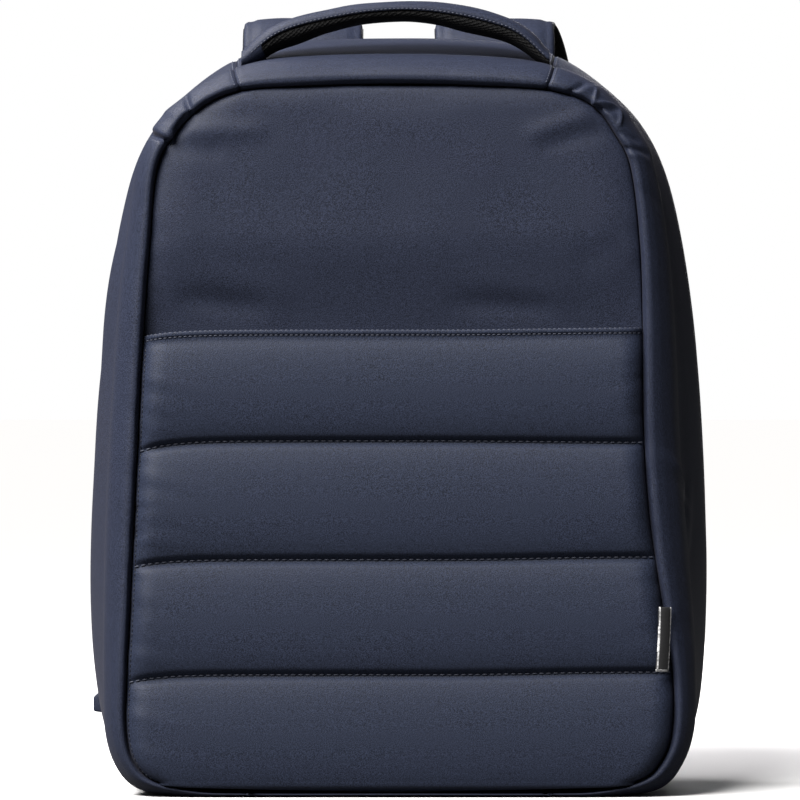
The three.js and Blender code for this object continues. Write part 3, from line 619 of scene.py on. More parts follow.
def edges_at(lines, z):
    return [np.interp(z, line[:, 1], line[:, 0]) for line in lines]


def spread(count, gather=0.35):
    """Shares from -1 to 1, closer together near the ends."""
    even = np.linspace(-1, 1, count + 1)
    return (1 - gather) * even + gather * np.sin(even * math.pi / 2)


# Making meshes

def new_object(name, points, faces, uv=None):
    """A mesh object from points in millimetres, with UVs in metres for each corner."""
    mesh = bpy.data.meshes.new(name)
    mesh.from_pydata((np.asarray(points) * MM).tolist(), [], faces)
    if uv is not None:
        layer = mesh.uv_layers.new(name="Cloth")
        layer.data.foreach_set("uv", (np.asarray(uv, float) * MM).astype(np.float32).ravel())
    mesh.validate()
    shape = bmesh.new()
    shape.from_mesh(mesh)
    bmesh.ops.recalc_face_normals(shape, faces=shape.faces)
    shape.to_mesh(mesh)
    shape.free()
    mesh.polygons.foreach_set("use_smooth", [True] * len(mesh.polygons))
    piece = bpy.data.objects.new(name, mesh)
    bpy.context.scene.collection.objects.link(piece)
    return piece


def corner_uv(faces, point_uv):
    return np.asarray(point_uv)[np.concatenate([np.asarray(face) for face in faces])]


def grid_faces(rows, columns, offset=0):
    start = (np.arange(rows - 1)[:, None] * columns + np.arange(columns - 1)[None, :]).ravel()
    quads = np.column_stack([start, start + 1, start + columns + 1, start + columns]) + offset
    return quads.tolist()


def slab(name, front, back, front_uv):
    """A closed solid between two grids of the same size."""
    rows, columns = front.shape[:2]
    offset = rows * columns
    faces = grid_faces(rows, columns)
    faces += [face[::-1] for face in grid_faces(rows, columns, offset)]
    rim = list(range(columns - 1))
    rim += [row * columns + columns - 1 for row in range(rows - 1)]
    rim += [(rows - 1) * columns + column for column in range(columns - 1, 0, -1)]
    rim += [row * columns for row in range(rows - 1, 0, -1)]
    faces += [[a, offset + a, offset + b, b] for a, b in zip(rim, rim[1:] + rim[:1])]
    points = np.vstack([front.reshape(-1, 3), back.reshape(-1, 3)])
    uv = np.vstack([front_uv.reshape(-1, 2)] * 2)
    return new_object(name, points, faces, corner_uv(faces, uv))


def loft(name, rings, ring_uv):
    """A closed solid through closed rings. ring_uv has one more column, for the rings' join."""
    count, size = rings.shape[:2]
    faces, uv = [], []
    for n in range(count - 1):
        for k in range(size):
            j = (k + 1) % size
            faces.append([n * size + k, n * size + j, (n + 1) * size + j, (n + 1) * size + k])
            uv += [ring_uv[n, k], ring_uv[n, k + 1], ring_uv[n + 1, k + 1], ring_uv[n + 1, k]]
    last = (count - 1) * size
    faces.append(list(range(size))[::-1])
    uv += [ring_uv[0, k] for k in range(size)][::-1]
    faces.append([last + k for k in range(size)])
    uv += [ring_uv[-1, k] for k in range(size)]
    return new_object(name, rings.reshape(-1, 3), faces, np.array(uv))


def finish_piece(piece, material, slot, *nodes, fill=None):
    """Gives a piece its material, and lets it stand for its solids. Its slot is not used."""
    piece.data.materials.clear()
    piece.data.materials.append(material)
    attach(piece, "root")
    if nodes:
        piece.name = piece.data.name = nodes[0] + "_dressed"
        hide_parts(*nodes)
    return piece


# Repeated stitches and teeth

def add_node(tree, kind, place, **values):
    node = tree.nodes.new(kind)
    node.location = place
    for name, value in values.items():
        setattr(node, name, value)
    return node


def repeat_tree():
    """A node tree that sets small rounded lumps along a path, one for each step."""
    tree = bpy.data.node_groups.get("Lumps along a path")
    if tree:
        return tree
    tree = bpy.data.node_groups.new("Lumps along a path", "GeometryNodeTree")
    face = tree.interface
    face.new_socket("Path", in_out="INPUT", socket_type="NodeSocketGeometry")
    for name in ("Pitch", "Length", "Width", "Height"):
        face.new_socket(name, in_out="INPUT", socket_type="NodeSocketFloat")
    face.new_socket("Material", in_out="INPUT", socket_type="NodeSocketMaterial")
    face.new_socket("Lumps", in_out="OUTPUT", socket_type="NodeSocketGeometry")
    start = add_node(tree, "NodeGroupInput", (-900, 0))
    to_curve = add_node(tree, "GeometryNodeMeshToCurve", (-700, 100))
    points = add_node(tree, "GeometryNodeCurveToPoints", (-500, 100), mode="LENGTH")
    outward = add_node(
        tree, "GeometryNodeInputNamedAttribute", (-700, -200), data_type="FLOAT_VECTOR",
    )
    outward.inputs["Name"].default_value = "outward"
    along = add_node(tree, "FunctionNodeAlignRotationToVector", (-300, -100), axis="X")
    up = add_node(
        tree, "FunctionNodeAlignRotationToVector", (-100, -100), axis="Z", pivot_axis="X",
    )
    lump = add_node(tree, "GeometryNodeMeshUVSphere", (-500, 350))
    lump.inputs["Segments"].default_value = 6
    lump.inputs["Rings"].default_value = 5
    lump.inputs["Radius"].default_value = 0.5
    size = add_node(tree, "ShaderNodeCombineXYZ", (-500, -350))
    place = add_node(tree, "GeometryNodeInstanceOnPoints", (100, 100))
    real = add_node(tree, "GeometryNodeRealizeInstances", (300, 100))
    smooth = add_node(tree, "GeometryNodeSetShadeSmooth", (450, 100))
    paint = add_node(tree, "GeometryNodeSetMaterial", (600, 100))
    end = add_node(tree, "NodeGroupOutput", (800, 100))
    link = tree.links.new
    link(start.outputs["Path"], to_curve.inputs[0])
    link(to_curve.outputs[0], points.inputs["Curve"])
    link(start.outputs["Pitch"], points.inputs["Length"])
    link(points.outputs["Points"], place.inputs["Points"])
    link(points.outputs["Tangent"], along.inputs["Vector"])
    link(along.outputs[0], up.inputs["Rotation"])
    link(outward.outputs[0], up.inputs["Vector"])
    link(up.outputs[0], place.inputs["Rotation"])
    link(lump.outputs[0], place.inputs["Instance"])
    for name, axis in (("Length", "X"), ("Width", "Y"), ("Height", "Z")):
        link(start.outputs[name], size.inputs[axis])
    link(size.outputs[0], place.inputs["Scale"])
    link(place.outputs[0], real.inputs[0])
    link(real.outputs[0], smooth.inputs[0])
    link(smooth.outputs[0], paint.inputs["Geometry"])
    link(start.outputs["Material"], paint.inputs["Material"])
    link(paint.outputs[0], end.inputs[0])
    return tree


def lumps_along(name, rows, pitch, length, width, height, material):
    """Stitches or teeth along rows of (points, outward directions), as one plain mesh."""
    points, edges, outwards = [], [], []
    for line, outward in rows:
        first = sum(len(part) for part in points)
        points.append(np.asarray(line) * MM)
        outwards.append(np.broadcast_to(outward, line.shape))
        edges += [(first + n, first + n + 1) for n in range(len(line) - 1)]
    mesh = bpy.data.meshes.new(name + " path")
    mesh.from_pydata(np.vstack(points).tolist(), edges, [])
    layer = mesh.attributes.new("outward", "FLOAT_VECTOR", "POINT")
    layer.data.foreach_set("vector", np.vstack(outwards).astype(np.float32).ravel())
    path = bpy.data.objects.new(name + " path", mesh)
    bpy.context.scene.collection.objects.link(path)
    tree = repeat_tree()
    modifier = path.modifiers.new("Lumps", "NODES")
    modifier.node_group = tree
    values = {
        "Pitch": pitch, "Length": length, "Width": width, "Height": height, "Material": material,
    }
    for item in tree.interface.items_tree:
        if item.in_out == "INPUT" and item.name in values:
            modifier[item.identifier] = values[item.name]
    bpy.context.view_layer.update()
    evaluated = path.evaluated_get(bpy.context.evaluated_depsgraph_get())
    made = bpy.data.meshes.new_from_object(evaluated)
    made.name = name
    bpy.data.objects.remove(path)
    piece = bpy.data.objects.new(name, made)
    bpy.context.scene.collection.objects.link(piece)
    return piece


def stitches(name, rows, material, slot, sizes, pitch=1.0):
    """Rows of sewing stitches that lie half sunk in the cloth."""
    width = sizes.stitch_width * min(1.0, pitch + 0.15)
    piece = lumps_along(
        name, rows, sizes.stitch_pitch * pitch, sizes.stitch_length * pitch, width, width * 0.8,
        material,
    )
    return finish_piece(piece, material, slot)


# Simulated cloth

def swell(name, grid, pinned, growth, pressure, frames, cap):
    """A grid of cloth after it has swollen against its pins, moved by no more than the cap."""
    rows, columns = grid.shape[:2]
    piece = new_object(name, grid.reshape(-1, 3), grid_faces(rows, columns))
    group = piece.vertex_groups.new(name="pinned")
    for weight in np.unique(pinned[pinned > 0]):
        group.add(np.flatnonzero(pinned.ravel() == weight).tolist(), float(weight), "REPLACE")
    cloth = piece.modifiers.new("Cloth", "CLOTH")
    settings = cloth.settings
    settings.quality = 5
    settings.mass = 0.12
    settings.tension_stiffness = 12
    settings.compression_stiffness = 12
    settings.shear_stiffness = 4
    settings.bending_stiffness = 0.25
    settings.vertex_group_mass = "pinned"
    settings.shrink_min = -growth
    settings.shrink_max = -growth
    settings.use_pressure = True
    settings.uniform_pressure_force = pressure
    settings.effector_weights.gravity = 0
    cloth.collision_settings.use_collision = False
    cloth.point_cache.frame_start = 1
    cloth.point_cache.frame_end = frames
    scene = bpy.context.scene
    for number in range(1, frames + 1):
        scene.frame_set(number)
    evaluated = piece.evaluated_get(bpy.context.evaluated_depsgraph_get())
    places = np.empty(rows * columns * 3, np.float32)
    evaluated.data.vertices.foreach_get("co", places)
    bpy.data.objects.remove(piece)
    scene.frame_set(1)
    moved = places.reshape(rows, columns, 3).astype(float) / MM - grid
    size = np.linalg.norm(moved, axis=-1, keepdims=True)
    limit = cap * np.tanh(size / cap)
    return grid + moved * limit / np.maximum(size, 1e-6)


def finer(grid, times):
    """The same grid with more rows and columns on smooth curves."""
    for axis in (0, 1):
        grid = np.moveaxis(grid, axis, 0)
        count = len(grid)
        places = np.linspace(0, count - 1, (count - 1) * times + 1)
        flat = spline(grid.reshape(count, -1), places)
        grid = np.moveaxis(flat.reshape((len(places),) + grid.shape[1:]), 0, axis)
    return grid


# Materials

class Paint:
    """A material's node tree, with short calls to add and join nodes."""

    def __init__(self, name):
        self.material = bpy.data.materials.new(name)
        self.material.use_nodes = True
        self.tree = self.material.node_tree
        self.shader = self.tree.nodes["Principled BSDF"]
        self.where = self.add("ShaderNodeTexCoord")

    def add(self, kind, inputs=None, **values):
        node = add_node(self.tree, kind, (-200 * len(self.tree.nodes), 0), **values)
        for name, value in (inputs or {}).items():
            self.feed(node.inputs[name], value)
        return node

    def feed(self, socket, value):
        if isinstance(value, bpy.types.NodeSocket):
            self.tree.links.new(value, socket)
        else:
            socket.default_value = value

    def set(self, **values):
        for name, value in values.items():
            self.feed(self.shader.inputs[name.replace("_", " ").title()], value)

    def noise(self, scale, detail):
        place = self.where.outputs["Object"]
        return self.add(
            "ShaderNodeTexNoise", {"Vector": place, "Scale": scale, "Detail": detail},
        ).outputs["Fac"]

    def math(self, operation, first, second=0.0):
        node = self.add("ShaderNodeMath", operation=operation)
        self.feed(node.inputs[0], first)
        self.feed(node.inputs[1], second)
        return node.outputs[0]

    def span(self, value, low, high, from_low=0.0, from_high=1.0):
        return self.add("ShaderNodeMapRange", {
            "Value": value, "From Min": from_low, "From Max": from_high,
            "To Min": low, "To Max": high,
        }).outputs[0]

    def mix(self, share, first, second):
        node = self.add("ShaderNodeMix", data_type="RGBA")
        self.feed(node.inputs[0], share)
        self.feed(node.inputs[6], first)
        self.feed(node.inputs[7], second)
        return node.outputs[2]

    def thread_wave(self, axis, pitch):
        """A sine from 0 to 1 across the threads, on the UV map in metres."""
        parts = self.add("ShaderNodeSeparateXYZ", {"Vector": self.where.outputs["UV"]})
        turned = self.math("MULTIPLY", parts.outputs[axis], 2 * math.pi / pitch)
        return self.span(self.math("SINE", turned), 0.0, 1.0, -1.0, 1.0)

    def bump(self, height, strength, distance, under=None):
        node = self.add(
            "ShaderNodeBump", {"Height": height, "Strength": strength, "Distance": distance},
        )
        if under is not None:
            self.feed(node.inputs["Normal"], under)
        return node.outputs[0]


def tint(colour, factor=1.0):
    return (colour[0] * factor, colour[1] * factor, colour[2] * factor, 1.0)


def woven_cloth(name, colour, thread):
    """Plain woven, slightly satin polyester with a fine salt and pepper grain."""
    paint = Paint(name)
    grain = paint.noise(1800.0, 1.0)
    cloud = paint.noise(30.0, 2.0)
    speck = paint.span(grain, 0.0, 1.0, 0.34, 0.66)
    shade = paint.mix(speck, tint(colour, 0.46), tint(colour, 1.54))
    shade = paint.mix(paint.span(cloud, 0.0, 0.4, 0.35, 0.65), shade, tint(colour, 1.06))
    weave = paint.math("MAXIMUM", paint.thread_wave(0, thread), paint.thread_wave(1, thread))
    fine = paint.bump(weave, 0.20, 0.0002)
    rough = paint.bump(grain, 0.40, 0.0004, fine)
    paint.set(Base_Color=shade, Roughness=paint.span(grain, 0.46, 0.60), Normal=rough)
    paint.shader.inputs["Specular IOR Level"].default_value = 0.12
    paint.shader.inputs["Sheen Weight"].default_value = 0.02
    paint.shader.inputs["Sheen Roughness"].default_value = 0.4
    paint.shader.inputs["Sheen Tint"].default_value = (0.95, 0.88, 1.0, 1.0)
    return paint.material


def air_mesh(name, colour):
    """Black spacer mesh with rows of small round openings, which are painted darker than its
    threads as painted shade.
    """
    paint = Paint(name)
    stretched = paint.add("ShaderNodeMapping", {
        "Vector": paint.where.outputs["UV"], "Scale": (1.0, 0.72, 1.0),
        "Rotation": (0.0, 0.0, 0.6),
    })
    cells = paint.add("ShaderNodeTexVoronoi", {
        "Vector": stretched.outputs[0], "Scale": 640.0, "Randomness": 0.22,
    }, feature="F1", voronoi_dimensions="2D")
    wall = paint.span(cells.outputs["Distance"], 0.0, 1.0, 0.28, 0.55)
    grain = paint.noise(2200.0, 2.0)
    # The openings are painted darker and the walls between them lighter: painted shade in the
    # holes.
    shade = paint.mix(wall, tint(colour, 0.25), tint(colour, 1.4))
    shade = paint.mix(paint.span(grain, 0.0, 0.5), shade, tint(colour, 1.2))
    knots = paint.bump(wall, 0.9, 0.0009)
    paint.set(Base_Color=shade, Roughness=0.78, Normal=paint.bump(grain, 0.3, 0.0003, knots))
    paint.shader.inputs["Specular IOR Level"].default_value = 0.16
    return paint.material


def ribbed_webbing(name, colour, pitch):
    """Black webbing with ribs along it and a fine weft across, painted darker in the grooves and
    lighter on the ribs as painted shade.
    """
    paint = Paint(name)
    ribs = paint.thread_wave(0, pitch)
    weft = paint.thread_wave(1, 0.0011)
    height = paint.math("ADD", ribs, paint.math("MULTIPLY", weft, 0.35))
    grain = paint.noise(1800.0, 2.0)
    # Colour follows the height of the ribs and weft: painted shade in the grooves, painted light on
    # the rib tops.
    shade = paint.mix(paint.span(height, 0.0, 1.0, 0.1, 1.2), tint(colour, 0.45), tint(colour, 1.5))
    relief = paint.bump(grain, 0.25, 0.0003, paint.bump(height, 0.7, 0.0004))
    paint.set(Base_Color=shade, Roughness=paint.span(grain, 0.55, 0.75), Normal=relief)
    paint.shader.inputs["Sheen Weight"].default_value = 0.12
    paint.shader.inputs["Sheen Roughness"].default_value = 0.4
    return paint.material


def moulded_plastic(name, colour):
    """Satin moulded plastic with a faint spark-eroded grain."""
    paint = Paint(name)
    grain = paint.noise(1600.0, 3.0)
    wear = paint.noise(60.0, 4.0)
    shade = paint.mix(paint.span(wear, 0.0, 0.6, 0.4, 0.7), tint(colour), tint(colour, 1.6))
    paint.set(
        Base_Color=shade, Roughness=paint.span(wear, 0.34, 0.50, 0.3, 0.7),
        Normal=paint.bump(grain, 0.18, 0.0002),
    )
    return paint.material


def sewing_thread(name, colour):
    """Twisted polyester thread."""
    paint = Paint(name)
    fibre = paint.noise(3000.0, 2.0)
    shade = paint.mix(fibre, tint(colour, 0.7), tint(colour, 1.5))
    paint.set(Base_Color=shade, Roughness=0.5, Normal=paint.bump(fibre, 0.4, 0.0002))
    paint.shader.inputs["Specular IOR Level"].default_value = 0.2
    paint.shader.inputs["Sheen Weight"].default_value = 0.03
    return paint.material


def label_tape(name, colour, edge_colour):
    """Black satin tape with pale edges, plain between them."""
    paint = Paint(name)
    parts = paint.add("ShaderNodeSeparateXYZ", {"Vector": paint.where.outputs["UV"]})
    half = LABEL_WIDTH * MM / 2
    from_middle = paint.math("ABSOLUTE", parts.outputs[0])
    long_edge = paint.math("GREATER_THAN", from_middle, half - 0.0010)
    inner = paint.math("LESS_THAN", from_middle, half - 0.0002)
    foot = paint.math("LESS_THAN", parts.outputs[1], 0.0012)
    pale = paint.math("MAXIMUM", paint.math("MULTIPLY", long_edge, inner), foot)
    worn = paint.span(paint.noise(700.0, 2.0), 0.25, 1.0, 0.35, 0.6)
    ribs = paint.thread_wave(1, 0.0007)
    # The ribs are painted lighter and the dips between them darker, as painted shade.
    cloth = paint.mix(ribs, tint(colour, 0.7), tint(colour, 1.3))
    paint.set(
        Base_Color=paint.mix(paint.math("MULTIPLY", pale, worn), cloth, tint(edge_colour)),
        Roughness=0.42, Normal=paint.bump(ribs, 0.4, 0.0002),
    )
    return paint.material


def pale_floor(name, colour):
    """Matt studio paper with a very faint grain, which throws back little light."""
    paint = Paint(name)
    fleck = paint.noise(40.0, 4.0)
    paper = paint.mix(fleck, tint(colour, 0.985), tint(colour))
    seen = paint.add("ShaderNodeLightPath").outputs["Is Camera Ray"]
    paint.set(
        Base_Color=paint.mix(seen, tint(colour, FLOOR_BOUNCE), paper), Roughness=0.9,
        Normal=paint.bump(paint.noise(900.0, 2.0), 0.05, 0.0002),
    )
    return paint.material


MATERIALS = {}


def material(name):
    """The named material, made on first use."""
    if name in MATERIALS:
        return MATERIALS[name]
    colours = bpy.context.scene.backpack_colours
    sizes = bpy.context.scene.backpack_sizes
    makers = {
        "navy_polyester": lambda: woven_cloth(name, colours.shell, sizes.weave_pitch),
        "navy_quilting": lambda: woven_cloth(name, colours.quilt, sizes.weave_pitch),
        "black_air_mesh": lambda: air_mesh(name, colours.mesh),
        "black_webbing": lambda: ribbed_webbing(name, colours.webbing, 0.0016),
        "zip_tape": lambda: ribbed_webbing(name, colours.webbing, 0.0009),
        "zip_coil": lambda: moulded_plastic(name, colours.plastic),
        "black_plastic": lambda: moulded_plastic(name, colours.plastic),
        "navy_thread": lambda: sewing_thread(name, colours.thread),
        "dark_thread": lambda: sewing_thread(name, tuple(0.3 * part for part in colours.shell)),
        "black_thread": lambda: sewing_thread(name, colours.webbing),
        "label_tape": lambda: label_tape(name, colours.label, colours.label_edge),
        "studio_paper": lambda: pale_floor(name, colours.floor),
    }
    MATERIALS[name] = makers[name]()
    return MATERIALS[name]


# Settings that a user would change

class BackpackSizes(bpy.types.PropertyGroup):
    """Sizes of the sewing and the softness of the cloth."""

    stitch_pitch: bpy.props.FloatProperty(
        name="Stitch pitch", description="Distance from one stitch to the next",
        default=0.0038, min=0.001, unit="LENGTH", precision=4,
    )
    stitch_length: bpy.props.FloatProperty(
        name="Stitch length", description="Visible length of one stitch",
        default=0.0031, min=0.0005, unit="LENGTH", precision=4,
    )
    stitch_width: bpy.props.FloatProperty(
        name="Thread width", description="Thickness of the sewing thread",
        default=0.0009, min=0.0002, unit="LENGTH", precision=4,
    )
    weave_pitch: bpy.props.FloatProperty(
        name="Weave pitch", description="Distance between neighbouring threads of the cloth",
        default=0.0006, min=0.0002, unit="LENGTH", precision=4,
    )
    wrinkle_depth: bpy.props.FloatProperty(
        name="Wrinkle depth", description="How strongly the gusset and the front wrinkle",
        default=1.0, min=0.0, max=2.0, subtype="FACTOR",
    )
    tube_growth: bpy.props.FloatProperty(
        name="Spare cloth", description="How much longer the quilted cloth is than its seams",
        default=0.05, min=0.0, max=0.1, subtype="FACTOR",
    )
    tube_pressure: bpy.props.FloatProperty(
        name="Tube pressure", description="Pressure of the wadding in the quilted tubes",
        default=3.0, min=0.0, max=20.0,
    )


def colour_setting(name, description, default):
    return bpy.props.FloatVectorProperty(
        name=name, description=description, default=default, size=3, min=0, max=1,
        subtype="COLOR",
    )


class BackpackColours(bpy.types.PropertyGroup):
    """Colours of the cloth, webbing, fittings and floor."""

    shell: colour_setting(
        "Shell", "Polyester of the body, straps and handle", (0.0128, 0.0160, 0.0290),
    )
    quilt: colour_setting("Pocket", "Quilted polyester of the pocket", (0.0128, 0.0166, 0.0300))
    thread: colour_setting("Thread", "Sewing thread of the body", (0.036, 0.040, 0.056))
    mesh: colour_setting("Air mesh", "Spacer mesh of the back and straps", (0.0035, 0.0035, 0.0037))
    webbing: colour_setting("Webbing", "Webbing, zip tape and its thread", (0.012, 0.012, 0.013))
    plastic: colour_setting("Plastic", "Ladder locks, zip coil and zip pull", (0.012, 0.012, 0.013))
    label: colour_setting("Label", "Folded side label", (0.022, 0.022, 0.023))
    label_edge: colour_setting("Label edge", "Pale edges of the side label", (0.60, 0.60, 0.60))
    floor: colour_setting("Floor", "Studio floor", (0.80, 0.80, 0.80))


class BackpackLight(bpy.types.PropertyGroup):
    """Strength of the studio lights."""

    key: bpy.props.FloatProperty(
        name="Key light", description="Strength of the far soft light from the upper left",
        default=5.9, min=0.0,
    )
    near_power: bpy.props.FloatProperty(
        name="Near light", description="Power of the soft light close to the upper left",
        default=38.0, min=0.0, unit="POWER",
    )
    top_power: bpy.props.FloatProperty(
        name="Top light", description="Power of the wide soft light above",
        default=34.0, min=0.0, unit="POWER",
    )
    back_power: bpy.props.FloatProperty(
        name="Back light", description="Power of the weak soft light behind on the right",
        default=7.0, min=0.0, unit="POWER",
    )
    room: bpy.props.FloatProperty(
        name="Room light", description="Even light from the white room",
        default=0.05, min=0.0, max=2.0,
    )


# Body

def fine_stations(first, last, spacing):
    """Stations from first to last at an even spacing, twice as close where wrinkles lie."""
    reference = np.linspace(first, last, 2000)
    density = np.ones(len(reference)) / spacing
    for row in WRINKLES:
        middle = (row[0] + row[2]) / 2
        for at in (middle, middle - STATIONS):
            near = np.exp(-(((reference - at) / WRINKLE_REACH) ** 2))
            density += WRINKLE_FINENESS / spacing * near
    lengths = ring_length(reference)
    total = np.concatenate([[0], np.cumsum((density[1:] + density[:-1]) / 2 * np.diff(lengths))])
    count = int(total[-1]) + 2
    return np.interp(np.linspace(0, total[-1], count), total, reference)


def fine_depths():
    roll = np.linspace(0, 0.05, 19)
    near = np.linspace(0.05, 0.24, 21)[1:]
    return np.concatenate([roll, near, np.linspace(0.24, 1.0, 36)[1:]])


def gusset_piece(name, first, last, sizes, spacing=2.2):
    """One stretch of the gusset as a closed shell, with rounded seams at its ends."""
    trim = CLEARANCE / 2
    per_station = float(ring_length(first + 0.5) - ring_length(first - 0.5))
    first = first + trim / per_station
    per_station = float(ring_length(last + 0.5) - ring_length(last - 0.5))
    last = last - trim / per_station
    stations = fine_stations(first, last, spacing)
    backs = fine_depths()
    outer = gusset_outer(stations, backs, sizes.wrinkle_depth)
    along = ring_length(stations)
    to_end = np.minimum(along - along[0], along[-1] - along)
    sunk = SEAM_SINK * np.exp(-((to_end / SEAM_REACH) ** 2))
    outer -= grid_normals(outer) * sunk[:, None, None]
    outer[..., 2] = np.maximum(outer[..., 2], 0)
    inner_backs = np.array([row[0] for row in PROFILE if row[0] > 0.1])[::-1]
    inner = gusset_grid(stations, inner_backs, -WALL, plain=True)
    seam = spline(FRONT_RING, stations, True)
    lip = np.column_stack([seam[:, 0], np.full(len(seam), FRONT_Y + ROLL_LIP), seam[:, 1]])
    rings = np.concatenate([outer, inner, lip[:, None, :]], axis=1)
    uv = np.empty((len(stations), rings.shape[1] + 1, 2))
    hidden = np.arange(1, uv.shape[1] - len(backs) + 1)
    uv[..., 0] = along[:, None]
    uv[..., 1] = np.concatenate([depth_length(backs), DEPTH_LENGTHS[-1] + 4 * hidden])
    piece = loft(name, rings, uv)
    return finish_piece(piece, material("navy_polyester"), "shell_fabric", name)


def gusset_row(first, last, back, sizes):
    """A line along the gusset at one share of its depth, with its outward directions."""
    stations = np.linspace(first, last, max(8, int(abs(last - first) * 24)))
    backs = np.array([back - 0.01, back, back + 0.01])
    grid = gusset_outer(stations, backs, sizes.wrinkle_depth)
    normals = grid_normals(grid)[:, 1]
    return grid[:, 1] + normals * EDGE_STITCH_OUT, normals


def cross_row(station, first_back, last_back, sizes):
    """A line across the gusset at one station."""
    stations = np.array([station - 0.02, station, station + 0.02])
    backs = np.linspace(first_back, last_back, 60)
    grid = gusset_outer(stations, backs, sizes.wrinkle_depth)
    normals = grid_normals(grid)[1]
    return grid[1] - normals * SEAM_STITCH_SUNK, normals


class BACKPACK_OT_gusset(bpy.types.Operator):
    """Side gussets, top band and base, with the roll, folds and stitched cross seams"""

    bl_idname = "backpack.gusset"
    bl_label = "Gusset"

    def execute(self, context):
        sizes = context.scene.backpack_sizes
        gusset_piece("side_gusset_right", 1, TOP_RIGHT, sizes)
        gusset_piece("top_band", TOP_RIGHT, TOP_LEFT, sizes)
        gusset_piece("side_gusset_left", TOP_LEFT, STATIONS - 1, sizes)
        gusset_piece("bottom_panel", -1, 1, sizes, spacing=4.0)
        rows = []
        for station in (TOP_RIGHT, TOP_LEFT):
            per_station = abs(float(ring_length(station + 0.5) - ring_length(station - 0.5)))
            for offset in SEAM_STITCHES:
                place = station + offset / per_station
                rows.append(cross_row(place, *SEAM_STITCH_RANGE, sizes))
        stitches(
            "cross_seam_stitching", rows, material("navy_thread"), "shell_fabric", sizes, 0.55,
        )
        edge = [gusset_row(ZIP_START, STATIONS - ZIP_START, EDGE_STITCHES, sizes)]
        stitches("back_edge_stitching", edge, material("navy_thread"), "shell_fabric", sizes)
        return {"FINISHED"}


def panel_relief(x, z, depth):
    """Height of the folds and dents of the bare front, in millimetres."""
    relief = np.zeros(np.shape(x))
    for x0, z0, x1, z1, width, height in PANEL_FOLDS:
        relief += line_ridge(x, z, (x0, z0), (x1, z1), width, height)
    relief += 0.5 * soft_noise(x + 300, z, 60, 21) + 0.2 * soft_noise(x + 300, z, 23, 22)
    return relief * depth


class BACKPACK_OT_front_panel(bpy.types.Operator):
    """Padded front, bare above the pocket and running down behind it"""

    bl_idname = "backpack.front_panel"
    bl_label = "Front panel"

    def execute(self, context):
        sizes = context.scene.backpack_sizes
        base = OUTLINE[0, 0] * PANEL_TOP + PANEL_CLEARANCE
        top = PANEL_TOP - PANEL_CLEARANCE - 0.5
        covered = np.linspace(base, FINE_START, 24)
        bare = FINE_START + (top - FINE_START) * (spread(56, 0.6) + 1) / 2
        heights = np.concatenate([covered, bare[1:]])
        shares = spread(110, 0.75)
        left, right = edges_at(FRONT_LINES, heights)
        x = left[:, None] + (right - left)[:, None] * (shares[None, :] + 1) / 2
        z = np.broadcast_to(heights[:, None], x.shape)
        puffed = smooth_step(PUFF_START, PUFF_FULL, z)
        inside = np.minimum(x - left[:, None], right[:, None] - x)
        to_top = (top - z) * PANEL_TOP_TIGHTNESS
        edge = np.clip(np.minimum(inside, to_top) / PANEL_ROUNDING, 0, 1)
        crown = PANEL_RIM_PUFF + (1 - PANEL_RIM_PUFF) * np.sqrt(1 - (1 - edge) ** 2)
        puff = PANEL_PUFF * puffed * crown
        shown = smooth_step(PUFF_START, FOLDS_FULL, z)
        relief = panel_relief(x, z, sizes.wrinkle_depth) * shown
        relief = relief * smooth_step(0, 8, np.minimum(inside, to_top))
        uneven = soft_noise(z, np.full_like(x, 7.0), 9, 31)
        gathers = 0.5 * uneven * np.exp(-inside / 7) * puffed
        front = np.stack([x, PANEL_SEAT_Y - puff - relief - gathers, z], axis=-1)
        back = front.copy()
        back[..., 1] = PANEL_SEAT_Y + PANEL_THICKNESS
        uv = np.stack([x, z], axis=-1)
        piece = slab("front_panel", front, back, uv)
        finish_piece(piece, material("navy_polyester"), "shell_fabric", "front_panel", fill=0.4)
        return {"FINISHED"}


def seam_height(n, x):
    """Height of a pocket seam at x: it drops towards its left end."""
    share, drop, rise = CHANNELS[n]
    level = share * POCKET_MOUTH
    if n == len(CHANNELS) - 1:
        level -= HEM_WIDTH
    return level - drop * np.exp(-(x + 140) / 16) + rise * smooth_step(20, 130, x)


def round_face(share):
    """Rise of a half circle from 0 at both ends to 1 in the middle."""
    return np.sqrt(np.clip(1 - (2 * share - 1) ** 2, 0, None))


def pocket_gathers(x, z, inside):
    """How far the side seams pull small gathers of cloth back, more on the left than the right."""
    strength = np.where(x < 0, 1.0, 0.5)
    notch = soft_noise(z, np.where(x < 0, 3.0, 90.0), GATHER_CELL, 33)
    notch = NOTCH_DEPTH * np.clip(notch, 0, None) ** 1.5 * np.exp(-inside / POCKET_TUCK_REACH)
    crease = soft_noise(z + 0.2 * inside, np.where(x < 0, 40.0, 150.0), GATHER_CELL, 34)
    return strength * (notch + CREASE_DEPTH * crease * np.exp(-inside / CREASE_REACH))


